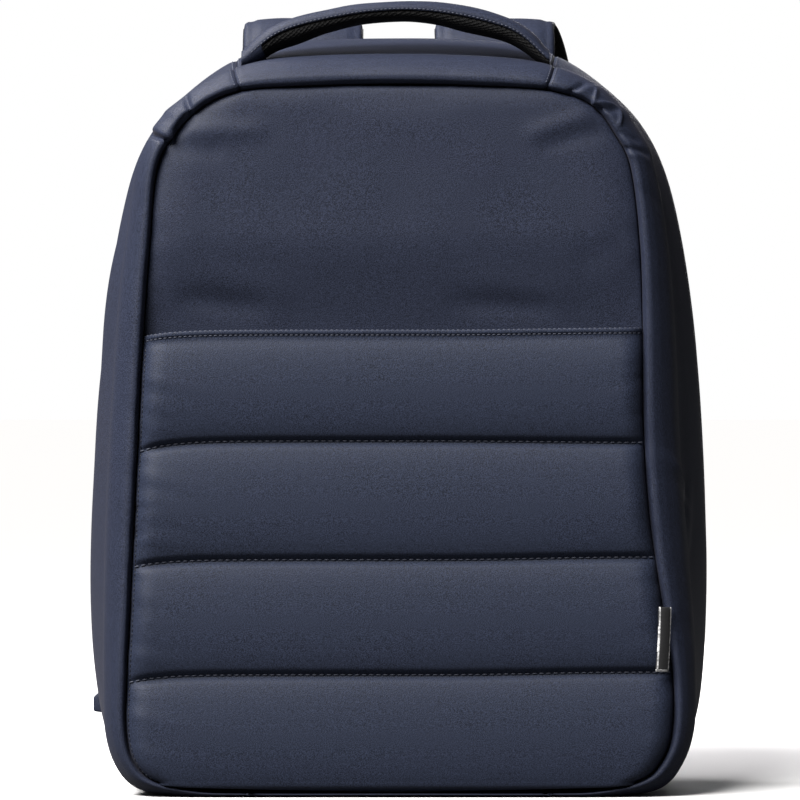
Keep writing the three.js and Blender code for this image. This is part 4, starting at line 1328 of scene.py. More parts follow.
def pocket_sheet():
    """The pocket's face before it swells, and how firmly each point is pinned."""
    shares = spread(92, 0.55)
    rows, pins = [], []
    for n in range(len(CHANNELS) - 1):
        for k in range(TUBE_ROWS):
            rows.append((n, k / TUBE_ROWS))
            pins.append(1.0 if k == 0 else 0.0)
    rows.append((len(CHANNELS) - 2, 1.0))
    pins.append(1.0)
    grid = np.empty((len(rows), len(shares), 3))
    for row, (n, share) in enumerate(rows):
        level = (CHANNELS[n][0] * (1 - share) + CHANNELS[n + 1][0] * share) * POCKET_MOUTH
        level = max(level, OUTLINE[0, 0] * PANEL_TOP + PANEL_CLEARANCE)
        left, right = edges_at(FRONT_LINES, level)
        x = left + (right - left) * (shares + 1) / 2
        z = seam_height(n, x) * (1 - share) + seam_height(n + 1, x) * share
        if n == 0 and share == 0:
            z = np.full(len(x), level)
        inside = np.minimum(x - left, right - x)
        edge = round_face(np.clip(inside / POCKET_EDGE / 2, 0, 0.5))
        fullness = round_face(share**TUBE_SAG)
        if n == len(CHANNELS) - 2 and share > 0.5:
            fullness = max(fullness, MOUTH_STAND)
        rise = POCKET_FIRST_PUFF * fullness * edge
        drawn = POCKET_TUCK * np.exp(-inside / POCKET_TUCK_REACH) + pocket_gathers(x, z, inside)
        grid[row] = np.column_stack([x, POCKET_BACK_Y - POCKET_WALL - rise + drawn, z])
    pinned = np.zeros(grid.shape[:2])
    pinned[np.array(pins) > 0, :] = 1.0
    pinned[:, 0] = pinned[:, -1] = 1.0
    return grid, pinned


def pocket_hem(top_row):
    """Rows of the folded hem above the pocket's top seam."""
    rows = []
    for up, out in HEM_SECTION:
        row = top_row.copy()
        row[:, 1] -= out
        row[:, 2] += up
        rows.append(row)
    return np.array(rows)


class BACKPACK_OT_front_pocket(bpy.types.Operator):
    """Quilted slip pocket: four swollen tubes between sewn channels, with a stitched hem"""

    bl_idname = "backpack.front_pocket"
    bl_label = "Front pocket"

    def execute(self, context):
        sizes = context.scene.backpack_sizes
        sheet, pinned = pocket_sheet()
        swollen = swell(
            "pocket_cloth", sheet, pinned, sizes.tube_growth, sizes.tube_pressure, TUBE_FRAMES,
            TUBE_MOST_SWELL,
        )
        swollen[..., 1] = np.minimum(
            swollen[..., 1], np.maximum(POCKET_BACK_Y - POCKET_THINNEST, sheet[..., 1]),
        )
        fine = finer(swollen, 2)
        face = np.concatenate([fine, pocket_hem(fine[-1])])
        back = face.copy()
        near_mouth = smooth_step(MOUTH_TAPER_START, MOUTH_TAPER_END, face[..., 2])
        back[..., 1] = np.maximum(
            POCKET_BACK_Y * (1 - near_mouth) + (face[..., 1] + POCKET_WALL) * near_mouth,
            face[..., 1] + POCKET_THINNEST,
        )
        uv = np.stack([face[..., 0], face[..., 2]], axis=-1)
        piece = slab("front_pocket", face, back, uv)
        finish_piece(piece, material("navy_quilting"), "quilted_fabric", "front_pocket", fill=0.6)
        facing = np.array([0.0, -1.0, 0.0])
        per_tube = (len(fine) - 1) // (len(CHANNELS) - 1)
        rows = []
        for n in range(1, len(CHANNELS) - 1):
            line = evenly(fine[n * per_tube, 3:-3], 2.0)
            rows.append((line + np.array(CHANNEL_STITCHES), facing))
        stitches("channel_stitching", rows, material("navy_thread"), "quilted_fabric", sizes)
        line = evenly(fine[-1, 3:-3], 2.0)
        hem = [(line + np.array(place), facing) for place in HEM_STITCHES]
        stitches("hem_stitching", hem, material("navy_thread"), "quilted_fabric", sizes, 0.72)
        seam = fine[4:-4, 2] + np.array(SIDE_STITCHES)
        stitches(
            "side_seam_stitching", [(evenly(seam, 1.5), facing)], material("dark_thread"),
            "quilted_fabric", sizes, 0.72,
        )
        return {"FINISHED"}


class BACKPACK_OT_back_panel(bpy.types.Operator):
    """Padded back panel of spacer mesh with a stitched rim"""

    bl_idname = "backpack.back_panel"
    bl_label = "Back panel"

    def execute(self, context):
        sizes = context.scene.backpack_sizes
        base = WALL + PANEL_CLEARANCE
        top = BACK_LINES[1][-1, 1] - 0.5
        heights = base + (top - base) * (spread(120, 0.4) + 1) / 2
        shares = spread(96, 0.4)
        left, right = edges_at(BACK_LINES, heights)
        x = left[:, None] + (right - left)[:, None] * (shares[None, :] + 1) / 2
        z = np.broadcast_to(heights[:, None], x.shape)
        inside = np.minimum(
            np.minimum(x - left[:, None], right[:, None] - x), np.minimum(z - base, top - z),
        )
        crown = (BACK_CROWN + 1) * smooth_step(BACK_RIM, BACK_FIELD, inside)
        groove = GROOVE_DEPTH * np.exp(-(((inside - GROOVE_PLACE) / GROOVE_WIDTH) ** 2))
        soft = 0.3 * soft_noise(x + 300, z, 45, 41) * smooth_step(BACK_RIM, BACK_FIELD, inside)
        face = np.stack([x, BACK_SEAT_Y + crown - groove + soft, z], axis=-1)
        under = face.copy()
        under[..., 1] = BACK_SEAT_Y - BACK_THICKNESS
        piece = slab("back_panel", face, under, np.stack([x, z], axis=-1))
        finish_piece(piece, material("black_air_mesh"), "air_mesh", "back_panel", fill=0.5)
        line = self.rim_line(base, top, GROOVE_PLACE)
        rows = [(line, np.array([0.0, 1.0, 0.0]))]
        stitches("back_panel_stitching", rows, material("black_thread"), "air_mesh", sizes)
        return {"FINISHED"}

    @staticmethod
    def rim_line(base, top, inset):
        """A closed line round the back, at an even distance inside its edge."""
        stations = np.linspace(0, STATIONS, 680)
        ring = gusset_grid(stations, [1.0], -WALL)[:, 0][:, [0, 2]] - outward_at(stations) * inset
        ring[:, 1] = np.clip(ring[:, 1], base + inset, top - inset)
        seat = np.full(len(ring), BACK_SEAT_Y - 0.4)
        return evenly(np.column_stack([ring[:, 0], seat, ring[:, 1]]), 2.0)


# Zip

def zip_rings(stations):
    """Sections of the zip tape, with a slightly raised middle."""
    edge = gusset_grid(stations, [1.0])[:, 0]
    out = outward_at(stations)
    outward = np.column_stack([out[:, 0], np.zeros(len(out)), out[:, 1]])
    section = [
        (0.0, 0.0), (0.0, 0.7), (0.3, 1.0), (4.2, 1.0), (5.2, 1.3), (6.8, 1.3), (7.8, 1.0),
        (ZIP_WIDTH - 0.3, 1.0), (ZIP_WIDTH, 0.7), (ZIP_WIDTH, 0.0),
    ]
    rings = []
    for inwards, up in section:
        ring = edge - outward * (ZIP_INSET + inwards)
        ring[:, 1] = BACK_Y + CLEARANCE + up * (ZIP_THICKNESS - 0.4)
        rings.append(ring)
    return np.stack(rings, axis=1), outward


class BACKPACK_OT_zip(bpy.types.Operator):
    """Zip tape with its coil teeth, stitches, slider and puller at the back edge"""

    bl_idname = "backpack.zip"
    bl_label = "Zip"

    def execute(self, context):
        sizes = context.scene.backpack_sizes
        stations = np.linspace(ZIP_START, STATIONS - ZIP_START, 420)
        rings, outward = zip_rings(stations)
        along = arc_lengths(rings[:, 4])
        across = np.array([0, 0.7, 1.1, 5, 6.1, 7.7, 8.8, 12.7, 13.1, 13.8, 25.8])
        uv = np.empty((len(stations), 11, 2))
        uv[..., 0] = across[None, :]
        uv[..., 1] = along[:, None]
        piece = loft("zip_tape", rings, uv)
        finish_piece(piece, material("zip_tape"), "zip_tape", "zip_tape")
        facing = np.array([0.0, 1.0, 0.0])
        middle = gusset_grid(stations, [1.0])[:, 0] - outward * (ZIP_INSET + ZIP_WIDTH / 2)
        middle[:, 1] = BACK_Y + CLEARANCE + ZIP_THICKNESS + 0.1
        tooth_line = [(evenly(middle, 1.5), facing)]
        teeth = lumps_along("zip_teeth", tooth_line, material=material("zip_coil"), **ZIP_TOOTH)
        finish_piece(teeth, material("zip_coil"), "zip_tape")
        rows = []
        for inwards in ZIP_STITCHES:
            line = gusset_grid(stations, [1.0])[:, 0] - outward * (ZIP_INSET + inwards)
            line[:, 1] = BACK_Y + CLEARANCE + ZIP_THICKNESS - 0.35
            rows.append((evenly(line, 1.5), facing))
        stitches("zip_stitching", rows, material("black_thread"), "zip_tape", sizes, 0.8)
        self.pull()
        return {"FINISHED"}

    @staticmethod
    def pull():
        """A slider body with its ridge, and a rounded puller, lying on the tape."""
        rings, _ = zip_rings(np.array([ZIP_START + 0.6]))
        x = float(rings[0, [0, 9], 0].mean())
        z = float(rings[0, 0, 2])
        y = BACK_Y + 2 * CLEARANCE + ZIP_THICKNESS
        half = ZIP_PULL_WIDTH / 2
        shape = bmesh.new()
        body = [
            (-half, 0.6), (-half + 0.8, 0), (half - 0.8, 0), (half, 0.6), (half, 6.8),
            (half - 1.2, 10.2), (half - 2.2, 11.2), (-half + 2.2, 11.2), (-half + 1.2, 10.2),
            (-half, 6.8),
        ]
        puller = [
            (-1.3, 8.6), (1.3, 8.6), (1.6, 12.5), (2.5, 18), (2.7, 26), (2.1, 27.6),
            (0, ZIP_PULL_LENGTH), (-2.1, 27.6), (-2.7, 26), (-2.5, 18), (-1.6, 12.5),
        ]
        bridge = [(-1.0, 2.0), (1.0, 2.0), (1.0, 9.4), (-1.0, 9.4)]
        parts = [(body, 0.0, 1.7), (puller, 1.9, ZIP_PULL_THICKNESS), (bridge, 1.5, 2.7)]
        for outline, low, high in parts:
            corners = [(x + a, z + b) for a, b in outline]
            add_plate(shape, corners, y + low, y + high)
        bmesh.ops.recalc_face_normals(shape, faces=shape.faces)
        piece = object_from_bmesh("zip_pull", shape)
        bevel(piece, 0.0004, 3)
        finish_piece(piece, material("black_plastic"), "black_plastic", "zip_pull")


def add_plate(shape, corners, front, back):
    """Adds a closed plate with the given corners in x and z, between two places in y."""
    low = [shape.verts.new(Vector((x, front, z)) * MM) for x, z in corners]
    high = [shape.verts.new(Vector((x, back, z)) * MM) for x, z in corners]
    shape.faces.new(low)
    shape.faces.new(high[::-1])
    for n in range(len(corners)):
        m = (n + 1) % len(corners)
        shape.faces.new([low[n], high[n], high[m], low[m]])


def object_from_bmesh(name, shape):
    mesh = bpy.data.meshes.new(name)
    shape.to_mesh(mesh)
    shape.free()
    piece = bpy.data.objects.new(name, mesh)
    bpy.context.scene.collection.objects.link(piece)
    return piece


def bevel(piece, width, segments):
    """Rounds the sharp edges of a piece."""
    modifier = piece.modifiers.new("Bevel", "BEVEL")
    modifier.width = width
    modifier.segments = segments
    modifier.limit_method = "ANGLE"
    modifier.angle_limit = math.radians(40)
    modifier.harden_normals = False
    bpy.context.view_layer.update()
    evaluated = piece.evaluated_get(bpy.context.evaluated_depsgraph_get())
    made = bpy.data.meshes.new_from_object(evaluated)
    piece.modifiers.clear()
    piece.data = made
    made.polygons.foreach_set("use_smooth", [True] * len(made.polygons))


# Straps, handle and webbing

def line_frames(points, side_axis):
    """Tangent, side and face directions along a line."""
    tangents = unit(np.gradient(points, axis=0))
    side_axis = np.broadcast_to(np.asarray(side_axis, float), points.shape)
    sides = unit(side_axis - (side_axis * tangents).sum(axis=1, keepdims=True) * tangents)
    faces = unit(np.cross(sides, tangents))
    return tangents, sides, faces


def ribbon(name, points, side_axis, section):
    """A strap along a line. section gives (across, out) of a closed ring for each point."""
    _, sides, faces = line_frames(points, side_axis)
    across, out = section
    rings = (
        points[:, None, :] + sides[:, None, :] * across[..., None]
        + faces[:, None, :] * out[..., None]
    )
    return loft(name, rings, section_uv(points, across, out))


def section_uv(points, across, out):
    """UVs of a strap: distance round its section and distance along it."""
    step = np.hypot(
        np.diff(across, axis=1, append=across[:, :1]), np.diff(out, axis=1, append=out[:, :1]),
    )
    around = np.concatenate([np.zeros((len(points), 1)), np.cumsum(step, axis=1)], axis=1)
    uv = np.empty((len(points), across.shape[1] + 1, 2))
    uv[..., 0] = around + across[:, :1]
    uv[..., 1] = arc_lengths(points)[:, None]
    return uv


def crown_at(shares, squareness):
    """Height of a crowned face from 1 in the middle to 0 at its edges. 2 gives a half circle."""
    return (1 - np.abs(shares) ** squareness) ** (1 / squareness)


def pad_section(widths, low, high, squareness, inset=0.0, dent=0.0):
    """Rings with a flat face at low and a crowned face at high, with a dent along each edge."""
    shares = spread(CROWN_COLUMNS, 0.8)
    half = (np.asarray(widths) / 2)[:, None]
    crown = crown_at(shares, squareness)
    top_across = half * shares[None, :]
    top = low + (high - low) * crown[None, :] + 0 * half
    if dent:
        for side in (-1, 1):
            away = top_across - side * (half - inset)
            top = top - dent * np.exp(-((away / 1.3) ** 2))
    flat = np.linspace(1, -1, FLAT_COLUMNS + 2)[1:-1]
    low_across = half * flat[None, :]
    across = np.concatenate([top_across, low_across], axis=1)
    out = np.concatenate([top, np.full(low_across.shape, float(low))], axis=1)
    return across, out


def webbing_section(count):
    """Rings of flat webbing with rounded edges."""
    half, deep = WEBBING_WIDTH / 2, WEBBING_THICKNESS / 2
    ring = np.array([
        (-half, -0.35 * deep), (-half + 0.5, -deep), (half - 0.5, -deep), (half, -0.35 * deep),
        (half, 0.35 * deep), (half - 0.5, deep), (-half + 0.5, deep), (-half, 0.35 * deep),
    ])
    return np.tile(ring[:, 0], (count, 1)), np.tile(ring[:, 1], (count, 1))


def top_height(x, y):
    """Height of the gusset's top at a place."""
    stations = np.linspace(ROWS_UP - 4, ROWS_UP + 4, 401)
    line = gusset_grid(stations, [(y - FRONT_Y) / BODY_DEPTH])[:, 0]
    order = np.argsort(line[:, 0])
    return np.interp(x, line[order, 0], line[order, 2])


def handle_line():
    """The handle's middle line, resting on the top band at its ends."""
    def seat(x):
        places = [HANDLE_Y + share * HANDLE_WIDTH / 2 for share in (-1, -0.5, 0, 0.5, 1)]
        return max(float(top_height(x, y)) for y in places)
    rise = HANDLE_TOP - HANDLE_THICKNESS / 2 - seat(0) - HANDLE_LOW
    points = []
    for across, share in HANDLE_PATH:
        x = across * (HANDLE_SEWN_IN + (HANDLE_LEFT if across < 0 else HANDLE_RIGHT))
        points.append((x, HANDLE_Y, seat(x) + HANDLE_LOW + share * rise))
    return spline(points, np.linspace(0, len(points) - 1, 181))


def handle_frames(points):
    """Side and face directions of the handle, upright where its ends are sewn in."""
    _, sides, faces = line_frames(points, (0, -1, 0))
    lengths = arc_lengths(points)
    to_end = np.minimum(lengths, lengths[-1] - lengths)
    upright = np.exp(-((to_end / HANDLE_UPRIGHT) ** 2))[:, None]
    faces = unit(faces * (1 - upright) + np.array([0.0, 0.0, 1.0]) * upright)
    return sides, faces, to_end


def settled(points, to_end):
    """Handle points lowered near its ends, so that they follow the top band under them."""
    places = HANDLE_Y + np.linspace(-0.6, 0.6, 9) * HANDLE_WIDTH
    lowered = points.copy()
    for end in (-HANDLE_LEFT, HANDLE_RIGHT):
        heights = np.array([float(top_height(end, y)) for y in places])
        drop = np.interp(points[..., 1], places, heights - heights[1:-1].max())
        near = np.exp(-((to_end / HANDLE_SETTLING) ** 2)) * (points[..., 0] * end > 0)
        lowered[..., 2] += near * (drop - HANDLE_END_DROP)
    return lowered


class BACKPACK_OT_handle(bpy.types.Operator):
    """Padded carry handle with a stitched mesh underside"""

    bl_idname = "backpack.handle"
    bl_label = "Carry handle"

    def execute(self, context):
        sizes = context.scene.backpack_sizes
        points = handle_line()
        lengths = arc_lengths(points)
        sides, faces, to_end = handle_frames(points)
        share = 2 * lengths / lengths[-1] - 1
        full, full_mesh = (
            smooth_table(share, HANDLE_FULLNESS[:, 0], HANDLE_FULLNESS[:, k]) for k in (1, 2)
        )
        gap = CLEARANCE / 2

        def rings(across, out):
            ring = points[:, None] + sides[:, None] * across[..., None]
            ring = ring + faces[:, None] * out[..., None]
            return settled(ring, np.repeat(to_end[:, None], across.shape[1], 1))

        widths = np.full(len(points), HANDLE_WIDTH)
        across, out = pad_section(widths, gap, HANDLE_THICKNESS / 2, HANDLE_SQUARENESS)
        wrinkle = soft_noise(np.repeat(lengths[:, None], out.shape[1], 1), across, 16, 51)
        out = gap + (out - gap) * (full[:, None] + 0.07 * wrinkle)
        crown = crown_at(across[:, -FLAT_COLUMNS:] / (HANDLE_WIDTH / 2), HANDLE_SQUARENESS)
        wrap = smooth_step(HANDLE_WRAP + 1.2, HANDLE_WRAP, lengths)[:, None]
        depth = (HANDLE_THICKNESS / 2 * full_mesh + 0.8)[:, None]
        out[:, -FLAT_COLUMNS:] -= wrap * depth * crown
        cover = loft("handle_cover", rings(across, out), section_uv(points, across, out))
        finish_piece(cover, material("navy_polyester"), "shell_fabric", "handle_cover", fill=0.7)
        widths = np.full(len(points), HANDLE_MESH_WIDTH + HANDLE_MESH_PROUD)
        across, out = pad_section(
            widths, gap, HANDLE_THICKNESS / 2 - 0.2, HANDLE_MESH_SQUARENESS,
        )
        out = gap + (out - gap) * full_mesh[:, None]
        under = loft("handle_mesh", rings(across, -out), section_uv(points, across, out))
        finish_piece(under, material("black_air_mesh"), "air_mesh", "handle_mesh", fill=0.7)
        rows = []
        for side in (-1, 1):
            reach = np.full((len(points), 1), side * (HANDLE_WIDTH / 2 + 0.1))
            line = rings(reach, np.full((len(points), 1), 0.9))[:, 0]
            rows.append((line[HANDLE_STITCHED], sides[HANDLE_STITCHED] * side))
        stitches("handle_stitching", rows, material("navy_thread"), "shell_fabric", sizes, 0.6)
        return {"FINISHED"}


def strap_line(mirror, count=260):
    """A shoulder strap's middle line and width."""
    places = np.linspace(0, len(STRAP_PATH) - 1, count)
    across = STRAP_PATH[:, 2] if mirror < 0 else STRAP_PATH[:, 3]
    control = np.column_stack([
        mirror * across * BODY_HALF_WIDTH, STRAP_SEAT + STRAP_PATH[:, 1] * STRAP_REACH,
        STRAP_PATH[:, 0] * STRAP_APEX,
    ])
    widths = spline((STRAP_PATH[:, 4] * STRAP_WIDTH)[:, None], places)[:, 0]
    return spline(control, places), widths


class BACKPACK_OT_shoulder_straps(bpy.types.Operator):
    """Padded shoulder straps with a mesh underside and edge stitching"""

    bl_idname = "backpack.shoulder_straps"
    bl_label = "Shoulder straps"

    def execute(self, context):
        sizes = context.scene.backpack_sizes
        rows = []
        for mirror, side_name in ((-1, "left"), (1, "right")):
            points, widths = strap_line(mirror)
            lengths = arc_lengths(points)
            gap = CLEARANCE / 2
            across, out = pad_section(
                widths, gap, STRAP_COVER, STRAP_SQUARENESS, STRAP_SEAM_INSET, STRAP_SEAM_DENT,
            )
            along = np.repeat(lengths[:, None], out.shape[1], 1)
            wrinkle = 0.35 * soft_noise(along, across + 40, 26, 60 + mirror)
            wrinkle += 0.15 * soft_noise(along, across + 40, 9, 62 + mirror)
            flat_end = 1 - 0.35 * np.exp(-(((lengths[-1] - lengths) / 7) ** 2))
            lift = np.clip((out - gap) / (STRAP_COVER - gap), 0, 1)
            out = gap + (out - gap) * flat_end[:, None] + wrinkle * lift
            cover = ribbon(f"shoulder_strap_{side_name}", points, (1, 0, 0), (across, out))
            finish_piece(
                cover, material("navy_polyester"), "shell_fabric", f"shoulder_strap_{side_name}",
                fill=0.6,
            )
            across, out = pad_section(
                widths + STRAP_MESH_PROUD, gap, STRAP_MESH, STRAP_MESH_SQUARENESS,
            )
            out = gap + (out - gap) * flat_end[:, None]
            under = ribbon(f"strap_mesh_{side_name}", points, (1, 0, 0), (across, -out))
            finish_piece(
                under, material("black_air_mesh"), "air_mesh", f"strap_mesh_{side_name}", fill=0.6,
            )
            _, sides, faces = line_frames(points, (1, 0, 0))
            apex = int(np.argmax(points[:, 2]))
            below = points[apex:, 2] < STRAP_APEX - STRAP_HANGS_BELOW
            hanging = slice(apex + int(np.argmax(below)), -3)
            for edge in (-1, 1):
                reach = (widths / 2 - STRAP_SEAM_INSET)[:, None] * edge
                line = points + sides * reach + faces * STRAP_STITCH_OUT
                rows.append((line[hanging], faces[hanging]))
        stitches("strap_stitching", rows, material("navy_thread"), "shell_fabric", sizes)
        return {"FINISHED"}


def strap_end(mirror):
    """Places around the lower end of a strap: along it, and out of its cover."""
    points, _ = strap_line(mirror, 1101)
    tangents, sides, faces = line_frames(points, (1, 0, 0))
    end, down, across, out = points[-1], tangents[-1], sides[-1], faces[-1]

    def place(length, height, aside=0.0):
        return end + down * length + out * height + across * aside

    return place, across, down, out


def lock_piece(name, place):
    """A ladder lock: a rounded frame with two slots."""
    shape = bmesh.new()
    half, inner = LOCK_WIDTH / 2, LOCK_WIDTH / 2 - LOCK_SIDE
    deep = LOCK_THICKNESS / 2
    cuts_along = [
        0, LOCK_BAR, LOCK_BAR + LOCK_SLOT, 2 * LOCK_BAR + LOCK_SLOT, 2 * LOCK_BAR + 2 * LOCK_SLOT,
        LOCK_LENGTH,
    ]
    cuts_across = [-half, -inner, inner, half]
    verts = {}
    for level in (-1, 1):
        for i, along in enumerate(cuts_along):
            for j, aside in enumerate(cuts_across):
                spot = place(LOOP_REACH + along, level * deep, aside)
                verts[level, i, j] = shape.verts.new(Vector(spot) * MM)
    holes = {(1, 1), (3, 1)}
    solid = {(i, j) for i in range(5) for j in range(3)} - holes
    for i, j in solid:
        corners = [(i, j), (i + 1, j), (i + 1, j + 1), (i, j + 1)]
        shape.faces.new([verts[(1,) + corner] for corner in corners])
        shape.faces.new([verts[(-1,) + corner] for corner in corners[::-1]])
        neighbours = [(i, j - 1), (i + 1, j), (i, j + 1), (i - 1, j)]
        for n, neighbour in enumerate(neighbours):
            if neighbour not in solid:
                a, b = corners[n], corners[(n + 1) % 4]
                wall = ((1, *a), (-1, *a), (-1, *b), (1, *b))
                shape.faces.new([verts[corner] for corner in wall])
    bmesh.ops.recalc_face_normals(shape, faces=shape.faces)
    piece = object_from_bmesh(name, shape)
    bevel(piece, 0.0011, 4)
    return finish_piece(piece, material("black_plastic"), "black_plastic", name)


def tab_piece(name, mirror, rows):
    """A folded fabric tab with rounded edges, and the line of its stitches."""
    reach = TAB_REACH[mirror]
    corners = [
        (mirror * (reach - inwards * TAB_LENGTH), TAB_PLACE + up * TAB_HEIGHT)
        for inwards, up in TAB_OUTLINE
    ]
    shape = bmesh.new()
    add_plate(shape, corners, TAB_Y, TAB_Y + TAB_THICKNESS)
    bmesh.ops.recalc_face_normals(shape, faces=shape.faces)
    piece = object_from_bmesh(name, shape)
    bevel(piece, 0.0013, 4)
    layer = piece.data.uv_layers.new(name="Cloth")
    for loop in piece.data.loops:
        spot = piece.data.vertices[loop.vertex_index].co
        layer.data[loop.index].uv = (spot.x, spot.z)
    finish_piece(piece, material("navy_polyester"), "shell_fabric", name)
    middle = np.mean(corners, axis=0)
    inner = [middle + (np.array(corner) - middle) * 0.80 for corner in corners]
    line = np.array([(x, TAB_Y + TAB_THICKNESS, z) for x, z in inner + inner[:1]])
    rows.append((evenly(line, 1.5), np.array([0.0, 1.0, 0.0])))


def lower_webbing(mirror, place):
    """Control points of the webbing from the tab, round the lock's middle bar, to its tail."""
    half = WEBBING_THICKNESS / 2
    loop_out = LOCK_THICKNESS / 2 + 2.4 * CLEARANCE + half
    middle_bar = LOOP_REACH + LOCK_BAR + LOCK_SLOT
    turn = middle_bar - 2 * CLEARANCE - 2 * half
    foot = np.array([
        mirror * (TAB_REACH[mirror] - 0.55 * TAB_LENGTH),
        TAB_Y + TAB_THICKNESS + 3 * CLEARANCE + half, TAB_PLACE + 0.15 * TAB_HEIGHT,
    ])
    leave = place(LOOP_REACH + LOCK_LENGTH, -1.2 * loop_out)
    tail = place(LOOP_REACH + LOCK_LENGTH, loop_out)

    def tail_at(share):
        return tail + np.array([mirror * 6 * share, 3 * share, -share * WEBBING_TAIL])

    return [
        foot, foot + (leave - foot) * 0.16, foot + (leave - foot) * 0.5,
        foot + (leave - foot) * 0.85, leave, place(middle_bar + LOCK_BAR, -loop_out),
        place(middle_bar + 0.3 * LOCK_BAR, -loop_out), place(turn, -0.45 * loop_out),
        place(turn, 0.45 * loop_out), place(middle_bar + 0.3 * LOCK_BAR, loop_out),
        place(middle_bar + LOCK_BAR, loop_out), tail, tail_at(0.3), tail_at(0.65), tail_at(1),
    ]


def strap_loop(place):
    """Control points of the webbing loop that holds the lock to the strap's end."""
    half = WEBBING_THICKNESS / 2
    loop_out = LOCK_THICKNESS / 2 + 2.4 * CLEARANCE + half
    loop_start = 3 * CLEARANCE
    slot_end = LOOP_REACH + LOCK_BAR + 2 * CLEARANCE + half
    return [
        place(loop_start, half + CLEARANCE), place(0.5 * LOOP_REACH, 0.8 * loop_out),
        place(LOOP_REACH, loop_out), place(LOOP_REACH + 0.8 * LOCK_BAR, loop_out),
        place(slot_end + half, 0.45 * loop_out), place(slot_end + half, -0.45 * loop_out),
        place(LOOP_REACH + 0.8 * LOCK_BAR, -loop_out), place(LOOP_REACH, -loop_out),
        place(0.5 * LOOP_REACH, -0.8 * loop_out), place(loop_start, -half - CLEARANCE),
    ]


class BACKPACK_OT_webbing(bpy.types.Operator):
    """Webbing loops, ladder locks, lower webbing and anchor tabs"""

    bl_idname = "backpack.webbing"
    bl_label = "Webbing and ladder locks"

    def execute(self, context):
        sizes = context.scene.backpack_sizes
        tab_rows = []
        for mirror, side_name in ((-1, "left"), (1, "right")):
            place, across, _, _ = strap_end(mirror)
            loop = np.array(strap_loop(place))
            line = spline(loop, np.linspace(0, len(loop) - 1, 91))
            piece = ribbon(f"strap_loop_{side_name}", line, across, webbing_section(len(line)))
            finish_piece(piece, material("black_webbing"), "webbing", f"strap_loop_{side_name}")
            lower = np.array(lower_webbing(mirror, place))
            line = spline(lower, np.linspace(0, len(lower) - 1, 211))
            piece = ribbon(f"lower_webbing_{side_name}", line, across, webbing_section(len(line)))
            finish_piece(piece, material("black_webbing"), "webbing", f"lower_webbing_{side_name}")
            lock_piece(f"adjuster_{side_name}", place)
            tab_piece(f"anchor_tab_{side_name}", mirror, tab_rows)
        stitches("tab_stitching", tab_rows, material("navy_thread"), "shell_fabric", sizes, 0.8)
        return {"FINISHED"}


class BACKPACK_OT_side_label(bpy.types.Operator):
    """Small folded tape label in the right front seam, plain with pale edges"""

    bl_idname = "backpack.side_label"
    bl_label = "Side label"

    def execute(self, context):
        seam_x = float(edges_at(FRONT_LINES, LABEL_PLACE)[1])
        centre = np.array([
            seam_x - 0.3 * LABEL_WIDTH, POCKET_BACK_Y - POCKET_WALL - LABEL_OUT, LABEL_PLACE,
        ])
        turn = Matrix.Rotation(LABEL_LEAN, 3, "Y") @ Matrix.Rotation(LABEL_TURN, 3, "Z")
        turn = np.array(turn)
        half, deep = LABEL_WIDTH / 2, LABEL_THICKNESS / 2
        ups = np.linspace(-0.5, 0.5, 40)
        section = [
            (-half, -0.5 * deep), (-half + 0.3, -deep), (0, -deep), (half - 0.3, -deep),
            (half, -0.5 * deep), (half, 0.5 * deep), (half - 0.3, deep), (0, deep),
            (-half + 0.3, deep), (-half, 0.5 * deep),
        ]
        rings, uv = [], []
        for up in ups:
            waist = 1 - LABEL_WAIST * math.cos(math.pi * up) ** 2
            bow = LABEL_BOW * math.cos(math.pi * up)
            pinch = 1 - 0.6 * smooth_step(0.46, 0.5, abs(up))
            ring = [(a * waist, b * pinch - bow, up * LABEL_HEIGHT) for a, b in section]
            rings.append([turn @ np.array(point) + centre for point in ring])
            uv.append([(a * waist, (up + 0.5) * LABEL_HEIGHT) for a, _ in section + section[:1]])
        piece = loft("side_label", np.array(rings), np.array(uv))
        finish_piece(piece, material("label_tape"), "label_tape", "side_label")
        return {"FINISHED"}


# Studio

def area_light(name, power, place, size, colour):
    """A rectangular light that faces the target."""
    data = bpy.data.lights.new(name, "AREA")
    data.shape = "RECTANGLE"
    data.size, data.size_y = size
    data.energy = power
    data.color = colour
    light = bpy.data.objects.new(name, data)
    light.location = place
    towards = Vector(LIGHT_TARGET) - Vector(place)
    light.rotation_euler = towards.to_track_quat("-Z", "Y").to_euler()
    bpy.context.scene.collection.objects.link(light)


def sun_light(name, strength):
    """A far soft light from the upper left."""
    data = bpy.data.lights.new(name, "SUN")
    data.energy = strength
    data.angle = SUN_SOFTNESS
    data.color = SUN_COLOUR
    sun = bpy.data.objects.new(name, data)
    sun.rotation_euler = Vector(SUN_DIRECTION).to_track_quat("-Z", "Y").to_euler()
    bpy.context.scene.collection.objects.link(sun)


def front_camera(name):
    """A camera that looks straight at the front from far away."""
    data = bpy.data.cameras.new(name)
    data.sensor_width = CAMERA_SENSOR
    data.lens = CAMERA_LENS
    camera = bpy.data.objects.new(name, data)
    camera.location = CAMERA_PLACE
    camera.rotation_euler = (math.pi / 2, 0, 0)
    bpy.context.scene.collection.objects.link(camera)
    bpy.context.scene.camera = camera


